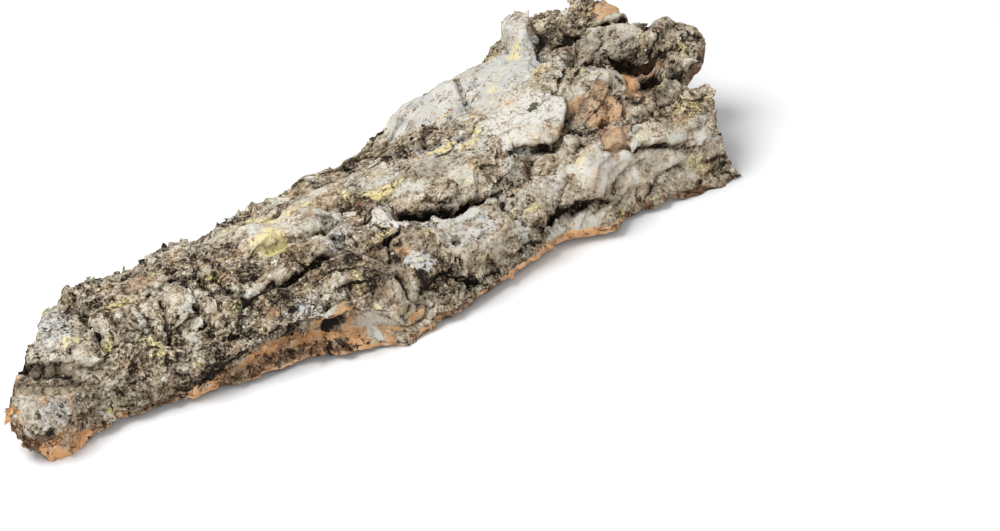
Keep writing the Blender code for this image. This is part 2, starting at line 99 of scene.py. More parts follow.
# Raised plates and lobes of the bark: x, v, half length, half width, turn in degrees, rise,
# soft share of the radius, calm (1 smooth, -1 rougher). v runs across the slab, from the ridge.
plates = [
    (20, -27, 19, 13, -15, 5, 0.45, 0.75), (30, -13, 21, 6, -28, -3.5, 0.4, 0.95),
    (46, 6, 17, 22, -8, 3, 0.12, 0.95), (66, 31, 7, 6, 0, 7, 1, 0), (78, 29, 14, 10, -8, 5.5, 0.7, 0.1),
    (80, 2, 14, 22, -10, 1, 0.4, 0.75), (104, 6, 12, 22, -12, 2, 0.25, 0.75),
    (78, -28, 14, 12, -20, 2, 0.3, 0.7), (126, -6, 13, 20, -12, 2, 0.25, 0.7),
    (100, -34, 9, 12, -25, 2, 0.4, 0.5), (124, -34, 16, 10, -15, -2, 0.6, -0.4),
    (146, 20, 24, 13, -5, 2.5, 0.4, 0.7), (174, 8, 26, 15, -8, 3.5, 0.35, 0.85),
    (164, -22, 14, 8, -15, -3.5, 0.6, -0.4), (150, -44, 20, 9, -10, 2.5, 0.4, 0.3),
    (184, -14, 10, 9, 0, 4.5, 0.6, 0.6), (203, -10, 9, 10, 0, 2.5, 0.5, 0.3),
    (206, 14, 24, 16, 0, 2.5, 0.5, 0.7), (223, -14, 8, 7, 0, 5, 0.8, 0.8),
    (212, -28, 8, 7, 0, 3, 0.6, 0.5), (192, -36, 17, 10, -25, 3, 0.4, 0.3),
    (185, -65, 15, 9, 0, 5, 0.6, 0.9), (240, 4, 32, 15, -10, 2.5, 0.3, 0.8),
    (265, -13, 24, 14, -18, 2.5, 0.3, 0.7), (250, -46, 31, 16, -24, 4.5, 0.3, 0.8),
    (218, -48, 7, 11, 0, 4.5, 0.6, 0.8), (300, 34, 20, 19, 10, 3.5, 0.5, 1),
    (290, 54, 16, 10, -15, 5, 0.8, 0.7), (334, 20, 28, 20, -15, 3.5, 0.45, 1),
    (318, -10, 30, 16, -30, 1.2, 0.4, 0.95), (322, 46, 20, 16, 0, 3, 0.6, 0.8),
    (350, 68, 15, 18, 0, -14, 0.6, 0.3), (363, 31, 11, 16, -15, 14.5, 0.35, 0.7),
    (370, 10, 12, 13, 0, -2.5, 0.6, -1), (312, -40, 15, 6, -35, -4.5, 0.5, 0.6),
    (348, -41, 14, 10, -15, -5.5, 0.5, 0.1), (302, -48, 18, 8, -10, 2.5, 0.4, 0.6),
    (338, -64, 25, 11, -15, 4.5, 0.4, 0.9), (352, -57, 7, 5, 0, 3.5, 0.5, 0.3),
    (350, -83, 11, 8, -10, 4.5, 0.7, 0.9), (317, -77, 19, 8, -8, 3.5, 0.3, 0.6),
    (376, -72, 20, 13, -15, 3, 0.4, 0.7), (372, -94, 20, 12, -10, 2.5, 0.4, 0.5),
    (398, -84, 14, 16, 0, 2.5, 0.4, 0.4), (384, -52, 18, 8, -10, 3, 0.4, 0.4),
    (391, -14, 21, 11, -28, 5, 0.4, 1), (373, -28, 8, 5.5, -20, 3.5, 0.5, 1),
    (418, -34, 15, 23, -10, 5.5, 0.35, -0.1), (404, 8, 16, 12, 0, 3, 0.45, 0.2)]

# Furrows: points (x, v), half width, depth, overhang of the upper side, step up on that side.
# A furrow of negative depth is a ridge.
furrows = [
    ([(8, 6), (18, 1), (29, -5), (37, -10), (48, -15), (60, -18)], 3, 1.5, 1.8, 1.5),
    ([(5, -14), (7, -22), (9, -28), (12, -33)], 1.6, 4, 0, 0),
    ([(72, 24), (66, 12), (62, 2), (62, -8), (60, -17)], 2, 6, 0, 0),
    ([(102, 0), (96, -14), (87, -27)], 1.4, 4, 0, 0),
    ([(116, 4), (113, -14), (110, -32)], 1.6, 4.5, 0, 0),
    ([(84, 12), (80, -4), (80, -20)], 1.2, 2.5, 0, 0),
    ([(92, 16), (89, 2), (88, -14), (82, -26)], 0.9, 2, 0, 0),
    ([(126, 10), (122, -6), (121, -22), (117, -32)], 1.1, 2.5, 0, 0),
    ([(134, 12), (131, -2), (130, -14)], 1, 2.5, 0, 0),
    ([(76, 22), (98, 8), (118, 2), (140, -6), (158, -10)], 1.6, 2.6, 1.5, 1.2),
    ([(70, -34), (92, -44), (112, -44), (130, -46)], 2.6, 4, 1.5, 1.5),
    ([(130, -18), (150, -18), (166, -18), (180, -22), (196, -22)], 3, 5.5, 3.5, 2.5),
    ([(156, 0), (176, -4), (194, -4), (212, -4)], 2, 3.5, 2, 1.5),
    ([(228, -12), (234, -17), (240, -21), (246, -24), (252, -27), (258, -28), (264, -30), (270, -32),
      (277, -34), (283, -36)], 3.6, 10, 6, 3),
    ([(207, -40), (211, -32), (218, -26), (228, -23)], 2.2, 5, 2, 1.5),
    ([(207, -44), (208, -56), (211, -66)], 1.8, 4, 0, 0),
    ([(222, -52), (231, -58), (240, -64), (248, -70)], 1.8, 4.5, 2, 1),
    ([(237, -52), (238, -62), (239, -72)], 1, 3, 0, 0),
    ([(270, -28), (277, -38), (279, -50), (283, -60)], 1.4, 3, 0, 0),
    ([(282, -61), (292, -60), (300, -60), (308, -63), (315, -66), (322, -71), (330, -77), (337, -81)],
     4.2, 6.5, 3.5, 2.5),
    ([(322, 44), (314, 28), (307, 12)], 1.6, 4.5, 1.5, 0.5),
    ([(266, 14), (284, 4), (300, 0)], 2.2, 3, 1.5, 1),
    ([(304, -19), (309, -23), (316, -29), (325, -36), (334, -33), (342, -28), (348, -16)],
     4.5, 7, 5, 1.5),
    ([(370, -10), (378, -5), (388, -3), (397, -5), (404, -13), (408, -24), (410, -36)],
     5, -6, 0, 0),
    ([(382, -19), (387, -22), (393, -27), (398, -33), (401, -38)], 7, 11, 7, 2),
    ([(398, 0), (390, -1), (380, 0), (371, -6), (364, -12)], 2.5, 6, 0, 0),
    ([(375, -9), (370, -14), (366, -22)], 3, -2.5, 0, 0),
    ([(424, 2), (417, -8), (412, -18)], 2.5, 6, 0, 0),
    ([(344, -18), (356, -26), (368, -31), (377, -37), (372, -45)], 4, -4.5, 0, 0),
    ([(337, -57), (346, -61), (352, -64), (360, -68), (368, -73), (378, -78), (390, -82)], 2, 3.5, 3, 2),
    ([(378, 16), (390, 6), (404, -2), (418, -6), (428, -12)], 3, 7, 3, 2),
    ([(362, 18), (362, 6), (358, -6)], 3, 5, 1, 1),
    ([(406, -48), (412, -56), (414, -62)], 3, 5, 0, 0),
    ([(352, -90), (366, -86), (382, -90)], 1.6, 2.5, 1.5, 1),
    ([(158, -57), (166, -53), (171, -50), (175, -53), (176, -60), (174, -70)], 2.2, -3, 0, 0)]

# Layers of bark that end in overhanging steps: size along and across, step height, overhang, salt.
# A salt is any whole number: it picks one of many random patterns, the same one in each run.
barkLayers = [(46, 24, 2.6, 3.2, 501)]

# Knot holes: x, v, radius, depth, height of the raised ring.
knots = [
    (16, -31, 3, 3.5, 0), (243, -46, 3, 3.5, 0.8), (172, -60, 4, 5, 1.2), (341, -45, 2.4, 4.5, 0),
    (355, -47, 3, 6, 0.6), (391, -44, 6, 9, 2.5), (404, -48, 3, 4, 0), (186, -20, 2, 2.5, 0.4),
    (212, -27, 2, 4, 0.4)]

# Fine pits and pores: size along and across, depth, where the floor and the brim lie in a cell, share
# of cells without one, salt.
finePits = [(5.4, 4.8, 1.2, 0.08, 0.42, 0.5, 29), (2.3, 2.1, 0.5, 0.1, 0.4, 0.4, 31)]


def ease(start, end, value):
    share = np.clip((value - start) / (end - start), 0, 1)
    return share * share * (3 - 2 * share)


def straight(table, where):
    # a value read from a table of places and values, along straight runs
    spots, values = np.array(table, float).T
    return np.interp(where, spots, values)


def flowing(table, where):
    # the same along a smooth curve
    spots, values = np.array(table, float).T
    slopes = np.gradient(values, spots)
    where = np.clip(where, spots[0], spots[-1])
    left = np.clip(np.searchsorted(spots, where) - 1, 0, len(spots) - 2)
    gap = spots[left + 1] - spots[left]
    share = (where - spots[left]) / gap
    back = 1 - share
    ends = values[left] * (1 + 2 * share) * back ** 2 + values[left + 1] * share ** 2 * (3 - 2 * share)
    return ends + gap * share * back * (slopes[left] * back - slopes[left + 1] * share)


def scatter(i, j, salt):
    # an even random number, 0 to 1, for each pair of whole numbers
    mask = 0xffffffff
    mixed = (i.astype(np.int64) * 374761393 + j.astype(np.int64) * 668265263 + salt * 974634777) & mask
    mixed = ((mixed ^ (mixed >> 13)) * 1274126177) & mask
    mixed = ((mixed ^ (mixed >> 15)) * 2246822519) & mask
    return (mixed ^ (mixed >> 16)) / (mask + 1.0)


def noise(x, y, salt):
    # smooth bumps one unit apart
    i = np.floor(x)
    j = np.floor(y)
    fx = x - i
    fy = y - j
    u = fx ** 3 * (fx * (fx * 6 - 15) + 10)
    v = fy ** 3 * (fy * (fy * 6 - 15) + 10)

    def corner(a, b):
        angle = scatter(i + a, j + b, salt) * 2 * np.pi
        return np.cos(angle) * (fx - a) + np.sin(angle) * (fy - b)

    low = corner(0, 0) * (1 - u) + corner(1, 0) * u
    high = corner(0, 1) * (1 - u) + corner(1, 1) * u
    return 1.5 * (low * (1 - v) + high * v)


def layeredNoise(x, y, size, salt, layers=3):
    total = 0
    strength = 1
    for layer in range(layers):
        total = total + strength * noise(x / size, y / size, salt + layer)
        strength *= 0.5
        size /= 2.03
    return total


def cells(x, y, salt):
    # ragged cells: distance to the middle, how much farther the next one lies, a random share, tilt
    i = np.floor(x)
    j = np.floor(y)
    middle = np.full(x.shape, 9.0)
    second = middle.copy()
    tag = np.zeros(x.shape)
    tilt = np.zeros(x.shape)
    for a in (-1, 0, 1):
        for b in (-1, 0, 1):
            px = i + a + 0.12 + 0.76 * scatter(i + a, j + b, salt)
            py = j + b + 0.12 + 0.76 * scatter(i + a, j + b, salt + 7)
            away = np.hypot(px - x, py - y)
            angle = 2 * np.pi * scatter(i + a, j + b, salt + 19)
            nearer = away < middle
            second = np.where(nearer, middle, np.minimum(second, away))
            tag = np.where(nearer, scatter(i + a, j + b, salt + 13), tag)
            tilt = np.where(nearer, (px - x) * np.cos(angle) + (py - y) * np.sin(angle), tilt)
            middle = np.where(nearer, away, middle)
    return middle, second - middle, tag, tilt


def alongLine(x, v, points):
    spots = np.array(points, float)
    lengths = np.hypot(*(spots[1:] - spots[:-1]).T)
    starts = np.concatenate([[0], np.cumsum(lengths)])
    nearest = np.full(x.shape, 1e9)
    side, share, sideX, sideV = (np.zeros(x.shape) for _ in range(4))
    for first, last, length, start in zip(spots[:-1], spots[1:], lengths, starts):
        wayX, wayV = (last - first) / length
        reach = np.clip((x - first[0]) * wayX + (v - first[1]) * wayV, 0, length)
        offX = x - first[0] - wayX * reach
        offV = v - first[1] - wayV * reach
        away = np.hypot(offX, offV)
        nearer = away < nearest
        nearest = np.where(nearer, away, nearest)
        side = np.where(nearer, np.sign(wayX * offV - wayV * offX), side)
        share = np.where(nearer, (start + reach) / starts[-1], share)
        sideX = np.where(nearer, wayV, sideX)
        sideV = np.where(nearer, -wayX, sideV)
    return nearest, side, share, sideX, sideV


def layerSteps(x, v, sizeX, sizeV, salt):
    def level(dx, dv):
        return 1.6 * layeredNoise((x + dx) / sizeX, (v + dv) / sizeV, 1, salt, 2)

    here = level(0, 0)
    slopeX = (level(0.5, 0) - here) / 0.5
    slopeV = (level(0, 0.5) - here) / 0.5
    steep = np.hypot(slopeX, slopeV) + 0.004
    along = here - np.floor(here)
    steps = np.floor(here) + ease(0, 0.16, along) - 0.45 * along
    lip = ease(0, 0.14, along) * (1 - ease(0.14, 0.6, along))
    return steps, -lip * slopeX / steep, -lip * slopeV / steep


def outline(s, t):
    left = straight(leftEnd, t) + ragged * layeredNoise(t * 11, t, 1, 83, 2)
    right = straight(rightEnd, t) + ragged * layeredNoise(t * 17, t, 1, 87, 2)
    x = left * (1 - s) + right * s
    near = straight(nearEdge, x) + ragged * layeredNoise(x, x * 0, 15, 81)
    far = flowing(farEdge, x) + 1.5 * ragged * layeredNoise(x, x * 0, 21, 85)
    return x, near + (far - near) * t


def arch(x, y):
    half = flowing(halfWidth, x)
    rise = flowing(ridgeHeight, x) - flowing(thickness, x)
    q = (y - flowing(ridgeY, x)) / half
    height = rise * (1 - np.abs(q) ** archPower)
    slope = -rise * archPower * np.abs(q) ** (archPower - 1) * np.sign(q) / half
    steep = archPower * rise / half
    stretch = 1 + steep ** 2 * np.abs(q) ** (2 * archPower - 2) / (4 * archPower - 2)
    return height, slope, half * q * stretch


def unit(vectors):
    return vectors / np.linalg.norm(vectors, axis=-1, keepdims=True)


def outward(x, t, slope):
    level = np.zeros(x.shape)
    square = unit(np.stack([level, -slope, level + 1], -1))
    lip = unit(np.stack([level, straight(lipLean, x), level + 1], -1))
    farLip = unit(np.stack([level, level - 0.2, level + 1], -1))
    upright = straight(lipUpright, x)[..., None]
    lip = lip * upright + square * (1 - upright)
    fromNear = ease(0, 0.12, t)[..., None]
    fromFar = ease(0, 0.1, 1 - t)[..., None]
    way = (square * fromNear + lip * (1 - fromNear)) * fromFar + farLip * (1 - fromFar)
    return unit(way)


def rimChunks(x, depth):
    # chunks of cork along the broken edges: the gap beside each spot, and one random value a chunk
    _, gap, tag, _ = cells((x + 1.5 * noise(x / 6, depth * 2, 97)) / 8, 1.3 * depth + 0.3 * x / 8, 95)
    return gap, tag


def barkThickness(x, t):
    nearShare = 1 - (1 - straight(lipShare, x)) * (1 - ease(0, 0.16, t))
    farShare = 1 - 0.45 * (1 - ease(0, 0.1, 1 - t))
    return flowing(thickness, x) * nearShare * farShare


def wavy(x, v, reach, size, salt, layers=2):
    # places shaken by a noise, so that no border runs straight
    return (x + reach * layeredNoise(x, v, size, salt, layers),
            v + reach * layeredNoise(x, v, size, salt + 4, layers))


def turnedRadius(dx, dv, halfLength, halfSpan, turn):
    # 1 on the border of an ellipse that is turned by some degrees
    c = np.cos(np.radians(turn))
    s = np.sin(np.radians(turn))
    return np.hypot((dx * c + dv * s) / halfLength, (dv * c - dx * s) / halfSpan)


def inside(band, share):
    # 0 at both ends of a share, and 1 further in than the band
    return ease(0, band, share) * ease(0, band, 1 - share)


def addPlates(height, x, v):
    calm = np.zeros(x.shape)
    for px, pv, halfLength, halfSpan, turn, rise, soft, quiet in plates:
        radius = turnedRadius(x - px, v - pv, halfLength, halfSpan, turn)
        share = 1 - ease(1 - soft, 1 + 0.25 * soft, radius)
        height = height + rise * share
        calm = np.where(quiet > 0, np.maximum(calm, quiet * share), calm + quiet * share)
    return height, np.clip(calm, -1, 1)


def addCrackedPlates(height, x, v, wavyX, wavyV, rough):
    # plates stand across the slab at its narrow end and lie along it elsewhere
    upright = 1 - ease(150, 230, x)
    _, border, tag, tilt = cells(wavyX / (24 - 9 * upright) + 3.1, wavyV / (14 + 7 * upright) + 1.7, 21)
    crack = np.exp(-(border / 0.13) ** 2) * (0.4 + 0.6 * ease(-0.2, 0.5, layeredNoise(x, v, 35, 41, 2)))
    height = height + rough * ((tag - 0.5) * 5 + 4.5 * tilt - 2.4 * crack)
    height = height + (0.2 + rough) * 3 * layeredNoise(x, v * 1.15, 30, 15, 2)
    smallX, smallV = wavy(x, v, 2, 9, 311)
    _, border, tag, tilt = cells(smallX / 10.5, smallV / 7.5, 23)
    crack = np.exp(-(border / 0.16) ** 2) * (tag > 0.25)
    return height + rough * ((tag - 0.5) * 1.6 + 1.4 * tilt - 1.7 * crack)


def addFurrows(height, reachX, reachV, x, v):
    for points, width, depth, overhang, step in furrows:
        away, side, share, sideX, sideV = alongLine(x, v, points)
        taper = inside(0.12, share)
        upper = np.maximum(away * side, 0)
        lower = np.maximum(-away * side, 0)
        if overhang > 0:
            wall = max(0.25 * width, thinnestLip)
            drop = 1 - 0.78 * ease(0, wall, upper) - 0.22 * ease(2 * wall, 2.8 * wall, upper)
            reach = overhang * ease(0.8 * wall, 2 * wall, upper) * (1 - ease(2.8 * wall, 4 * width, upper))
        else:
            wall = width
            drop = np.exp(-(upper / width) ** 2)
            reach = 0
        raised = ease(wall, wall * 2.6, upper) * (1 - ease(width * 2, width * 8, upper))
        height = height + taper * (step * raised - depth * drop * np.exp(-(lower / width) ** 2))
        reachX = reachX + taper * reach * sideX
        reachV = reachV + taper * reach * sideV
    return height, reachX, reachV


def addKnots(height, x, v):
    for px, pv, radius, depth, ring in knots:
        away = np.hypot(x - px, (v - pv) * 1.15)
        height = height - depth * (1 - ease(0.55 * radius, 1.15 * radius, away))
        height = height + ring * np.exp(-((away - 1.35 * radius) / (0.4 * radius)) ** 2)
    return height


def relief(x, v):
    # how far the bark rises, how far it reaches along the slab and across it, and how rough it is
    wavyX, wavyV = wavy(x, v, 4, 22, 301)
    height, calm = addPlates(3.2 * layeredNoise(x, v * 1.5, 62, 11, 2), wavyX, wavyV)
    rough = 0.42 + 0.3 * layeredNoise(x, v, 38, 63, 2)
    rough = np.clip(rough, 0.2, 0.75) * (1 - 0.8 * np.clip(calm, 0, 1)) + 0.7 * np.clip(-calm, 0, 1)
    height = addCrackedPlates(height, x, v, wavyX, wavyV, rough)
    reachX = np.zeros(x.shape)
    reachV = np.zeros(x.shape)
    for sizeX, sizeV, drop, overhang, salt in barkLayers:
        steps, leanX, leanV = layerSteps(x, v, sizeX, sizeV, salt)
        height = height + (0.25 + rough) * drop * (steps + 0.2)
        reachX = reachX + (0.25 + rough) * overhang * leanX
        reachV = reachV + (0.25 + rough) * overhang * leanV
    lineX, lineV = wavy(x, v, 1.6, 12, 331, 3)
    height, reachX, reachV = addFurrows(height, reachX, reachV, lineX, lineV)
    height = addKnots(height, lineX, lineV)
    height = height + rough * (1.4 * layeredNoise(x, v, 11, 51, 3) + 0.25)
    return height, reachX, reachV, rough


def edgeHeight(x, spots):
    # height of a long edge over the floor, under it at the low spots
    worn = np.clip(sum(np.exp(-((x - spot) / footReach) ** 2) for spot in spots), 0, 1)
    return edgeLift * (1 - worn) - footCut * worn


def fineRelief(x, v, rough):
    # crumbs, pits and pores too small for the solid
    height = 0.6 * rough * layeredNoise(x, v, 4.4, 61, 3)
    for sizeX, sizeV, depth, floor, brim, unpitted, salt in finePits:
        away, _, tag, _ = cells(x / sizeX, v / sizeV, salt)
        height = height - depth * rough * (1 - ease(floor, brim, away)) * (tag > unpitted)
    return height


def surface(s, t, depth):
    # points of the slab, depth 0 on the hollow side and 1 on the bark side, with what the marks need
    x, y = outline(s, t)
    height, slope, v = arch(x, y)
    nearDrop = edgeHeight(x, nearFeet) - arch(x, straight(nearEdge, x))[0]
    farDrop = edgeHeight(x, farFeet) - arch(x, flowing(farEdge, x))[0]
    height = height + nearDrop * (1 - t) ** 3 + farDrop * t ** 3
    height = height + hollowRipple * layeredNoise(x, y * 2, 34, 71, 3) * inside(0.08, t)
    rise, reachX, reachV, rough = relief(x, v)
    sleek = sleekShare(x, v, rough)
    fine = fineRelief(x, v, (0.2 + 0.65 * rough) * (1 - 0.7 * sleek))
    bark = barkThickness(x, t) + rise * (0.25 + 0.75 * inside(0.05, t)) + fine
    bark = np.maximum(bark, thinnestBark)
    level = np.zeros(x.shape)
    uphill = unit(np.stack([level, level + 1, slope], -1))
    point = np.stack([x, y, height], -1) + outward(x, t, slope) * (bark * depth)[..., None]
    point = point + uphill * (reachV * depth)[..., None]
    point[..., 0] += reachX * depth

    # the broken edges: crumbs, chunks with splits between them, and the hollowed near face
    middle = np.sin(np.pi * depth)
    crumbs = crumbled * np.maximum(layeredNoise(x + y, y + 14 * depth, 9, 91), -0.2) * middle
    gap, tag = rimChunks(x + y * (np.abs(s - 0.5) > 0.499), depth)
    crumbs = crumbs + middle * (chunkDepth * (tag - 0.4) - splitDepth * np.exp(-(gap / 0.12) ** 2))
    recess = straight(rimRecess, x) * middle * (0.7 + 0.6 * noise(x / 9, x * 0, 93))
    point[..., 0] += crumbs * ((s > 0.999).astype(float) - (s < 0.001))
    point[..., 1] += (crumbs - recess) * ((t > 0.999).astype(float) - (t < 0.001))
    return point, x, v, sleek, gap, tag


# The marks pit, cranny and steep paint shade into the bark's colour, in small hollows, in crannies and on
# steep faces turned down, and crest paints highlight on crests; steep also keeps lichen off such faces.
slabPiece = {
    "steps": (424, 178, 12),  # cells along the slab, across it and down its broken edges
    "hollowShare": 0.06,      # share of the faces kept on the hollow side
    "closeRounds": 3,         # rounds of evening out that pits are read against, for their painted shade
    "wideRounds": 30,         # and those for the painted shade of crannies and the painted highlight of crests
    "pit": (0.15, 0.8),       # each mark's first and full depth or height in mm
    "crannyShade": (0.6, 4),
    "crestHighlight": (0.3, 2.5),
    "steep": (0.35, -0.25),   # upward part of the normal, where painted shade on steep and downturned faces starts and is full
}


def slabBlock(mesh, steps):
    # a closed block of cells one unit each way, always in the same order, ready to be bent into the slab
    number = np.arange(np.prod(np.add(steps, 1))).reshape(np.add(steps, 1))
    faces = []
    sides = [number[:, :, 0].T, number[:, :, -1], number[:, 0], number[:, -1].T, number[0].T, number[-1]]
    for side in sides:
        quads = np.stack([side[:-1, :-1], side[1:, :-1], side[1:, 1:], side[:-1, 1:]], -1)
        faces.append(quads.reshape(-1, 4))
    used, faces = np.unique(np.concatenate(faces), return_inverse=True)
    places = np.stack(np.unravel_index(used, number.shape), 1) / steps
    mesh.from_pydata(places, [], faces.reshape(-1, 4))
    return places.T


def readNumbers(items, what, width=1, kind=np.float32):
    # one row of numbers for each point, edge, face or corner of a mesh
    flat = np.empty(len(items) * width, kind)
    items.foreach_get(what, flat)
    return flat.reshape(-1, width) if width > 1 else flat


def writeMark(mesh, name, values):
    mark = mesh.attributes.new(name, "FLOAT", "POINT")
    mark.data.foreach_set("value", values.astype(np.float32))


def showPiece(name, mesh):
    piece = bpy.data.objects.new(name, mesh)
    bpy.context.scene.collection.objects.link(piece)
    print(name, len(mesh.vertices), "points", len(mesh.polygons), "faces")
    return piece


def bulge(mesh, rounds):
    # how far each point stands above (or under) the evened-out surface round it, in mm
    points = readNumbers(mesh.vertices, "co", 3).astype(float)
    pairs = readNumbers(mesh.edges, "vertices", 2, np.int32)
    first, second = pairs.T
    count = np.bincount(pairs.ravel(), minlength=len(points))[:, None]
    even = points.copy()
    for _ in range(rounds):
        total = np.stack([np.bincount(first, even[second, axis], len(points))
                          + np.bincount(second, even[first, axis], len(points)) for axis in range(3)], 1)
        even = total / count
    return np.sum((points - even) * readNumbers(mesh.vertex_normals, "vector", 3).astype(float), 1) / mm


def thinHollowSide(slab, depth):
    # fewer faces on the hollow side, which is smooth and mostly out of sight
    hollow = slab.vertex_groups.new(name="hollowSide")
    hollow.add([int(i) for i in np.flatnonzero(depth < 0.01)], 1.0, "REPLACE")
    hollowFaces = slabPiece["steps"][0] * slabPiece["steps"][1]
    fewer = slab.modifiers.new("fewer hollow faces", "DECIMATE")
    fewer.vertex_group = "hollowSide"
    fewer.ratio = 1 - hollowFaces * (1 - slabPiece["hollowShare"]) / len(slab.data.polygons)
    graph = bpy.context.evaluated_depsgraph_get()
    finished = bpy.data.meshes.new_from_object(slab.evaluated_get(graph))
    slab.modifiers.clear()
    slab.data = finished


def buildSlab():
    mesh = bpy.data.meshes.new("barkSlab")
    s, t, depth = slabBlock(mesh, slabPiece["steps"])
    points, x, v, sleek, gap, tag = surface(s, t, depth)
    points = (points - slabMiddle) * mm
    points[:, 2] = np.maximum(points[:, 2], 0)
    mesh.vertices.foreach_set("co", points.astype(np.float32).ravel())
    mesh.update()
    slab = showPiece("barkSlab", mesh)
    thinHollowSide(slab, depth)
    mesh = slab.data
    tree = KDTree(len(points))
    for index, point in enumerate(points):
        tree.insert(point, index)
    tree.balance()
    kept = np.array([tree.find(vertex.co)[1] for vertex in mesh.vertices])
    for name, values in barkMarks(x, v, sleek, gap, tag, s, t, depth).items():
        writeMark(mesh, name, values[kept])
    # painted shade in pits, crannies and on steep faces, and painted highlight on crests, read from the
    # shape of the mesh
    close = bulge(mesh, slabPiece["closeRounds"])
    wide = bulge(mesh, slabPiece["wideRounds"])
    upward = readNumbers(mesh.vertex_normals, "vector", 3)[:, 2].astype(float)
    for name, field in (("pit", -close), ("crannyShade", -wide), ("crestHighlight", wide), ("steep", upward)):
        writeMark(mesh, name, ease(*slabPiece[name], field))
    mesh.shade_smooth()
    print("slab thinned to", len(mesh.vertices), "points", len(mesh.polygons), "faces")
    return slab


# Loose bits: size, thickness and lowest place in mm, sunk as a share of the size, tilt as a spread of
# the normal.
looseBark = {
    "crumbs": {"count": 14000, "size": 0.8, "spread": 0.45, "sunk": 0.25, "corners": 0, "seed": 11,
               "tilt": 0.3, "lowest": 4},
    "splinters": {"count": 260, "size": 1.9, "spread": 0.5, "sunk": 0.1, "corners": 6, "seed": 13,
                  "tilt": 0.6, "lowest": 3, "thick": 0.35},
    "flakes": {"count": 2300, "size": 2.2, "spread": 0.5, "sunk": 0.1, "corners": 7, "seed": 12,
               "tilt": 0.28, "lowest": 4, "thick": 0.5},
}


def flatShapes(facts, draw, size):
    # ragged flat chips: a ring of corners above and below, with a middle point on each side
    ring = facts["corners"]
    angles = 2 * np.pi * np.arange(ring) / ring
    reach = draw.uniform(0.6, 1.25, (len(size), ring))
    stretch = draw.uniform(0.45, 0.8, len(size))[:, None]
    flatX = np.cos(angles) * reach
    flatY = np.sin(angles) * reach * stretch
    flatZ = draw.uniform(-0.16, 0.16, (len(size), ring))
    half = facts["thick"] * mm / size[:, None]
    top = np.stack([flatX, flatY, flatZ + half], 2)
    bottom = np.stack([flatX * 0.9, flatY * 0.9, flatZ - half], 2)
    middle = np.stack([flatX.mean(1), flatY.mean(1), flatZ.mean(1)], 1)
    above = middle + half * (0, 0, 1) + (0, 0, 0.05)
    below = middle - half * (0, 0, 1)
    shape = np.concatenate([top, bottom, above[:, None], below[:, None]], 1)
    faces = []
    for i in range(ring):
        j = (i + 1) % ring
        faces += [(2 * ring, i, j), (2 * ring + 1, ring + j, ring + i), (i, ring + i, ring + j, j)]
    return shape, faces


def roundShapes(draw, total):
    # crumbs: blunt eight-sided grains
    spikes = np.array([(1, 0, 0), (-1, 0, 0), (0, 1, 0), (0, -1, 0), (0, 0, 1), (0, 0, -1)])
    shape = spikes * draw.uniform(0.55, 1.2, (total, 6, 1)) * (1, 0.75, 0.7)
    shape = shape + draw.uniform(-0.2, 0.2, shape.shape)
    return shape, [(4, 0, 2), (4, 2, 1), (4, 1, 3), (4, 3, 0), (5, 2, 0), (5, 1, 2), (5, 3, 1), (5, 0, 3)]


def scatterBits(name, slab):
    # small closed bits of bark, half sunk in the slab's bark side, or in its broken rim for splinters
    facts = looseBark[name]
    mesh = slab.data
    total = facts["count"]
    middles = readNumbers(mesh.polygons, "center", 3)
    normals = readNumbers(mesh.polygons, "normal", 3)
    areas = readNumbers(mesh.polygons, "area")
    firstLoops = readNumbers(mesh.polygons, "loop_start", 1, np.int32)
    corners = readNumbers(mesh.loops, "vertex_index", 1, np.int32)[firstLoops]
    draw = np.random.RandomState(facts["seed"])
    marks = {mark.name: readNumbers(mark.data, "value") for mark in mesh.attributes
             if mark.data_type == "FLOAT"}
    if name == "splinters":  # on the near broken edge of the narrow half
        chance = areas * (marks["rim"][corners] > 0.6) * (normals[:, 1] < 0) * (middles[:, 0] < 0)
    else:  # on upward bark, and few on smooth lichen or bare cork
        chance = areas * (1 - marks["hollow"][corners]) * (1 - 0.9 * marks["smooth"][corners]) ** 2
        chance = chance * (normals[:, 2] > 0.15) * (marks["warm"][corners] < 0.45)
    chance = chance * (middles[:, 2] > facts["lowest"] * mm)
    chosen = draw.choice(len(areas), total, p=chance / chance.sum())
    up = unit(normals[chosen] + draw.normal(0, facts["tilt"], (total, 3)))
    side = unit(np.cross(up, draw.normal(0, 1, (total, 3))))
    other = np.cross(up, side)
    size = facts["size"] * np.exp(facts["spread"] * draw.normal(0, 1, total)) * mm
    size = np.minimum(size, facts["size"] * 2 * mm)
    shape, faces = flatShapes(facts, draw, size) if facts["corners"] else roundShapes(draw, total)
    count = shape.shape[1]
    points = (middles[chosen] - up * (facts["sunk"] * size)[:, None])[:, None]
    turned = shape[:, :, :1] * side[:, None] + shape[:, :, 1:2] * other[:, None]
    points = points + size[:, None, None] * (turned + shape[:, :, 2:] * up[:, None])
    allFaces = [tuple(start + corner for corner in face)
                for start in range(0, total * count, count) for face in faces]
    bits = bpy.data.meshes.new(name)
    bits.from_pydata(points.reshape(-1, 3), [], allFaces)
    bits.update()
    for mark, values in marks.items():
        writeMark(bits, mark, np.repeat(values[corners[chosen]], count))
    writeMark(bits, "tint", np.repeat(draw.normal(0, 0.16, total), count))
    return showPiece(name, bits)
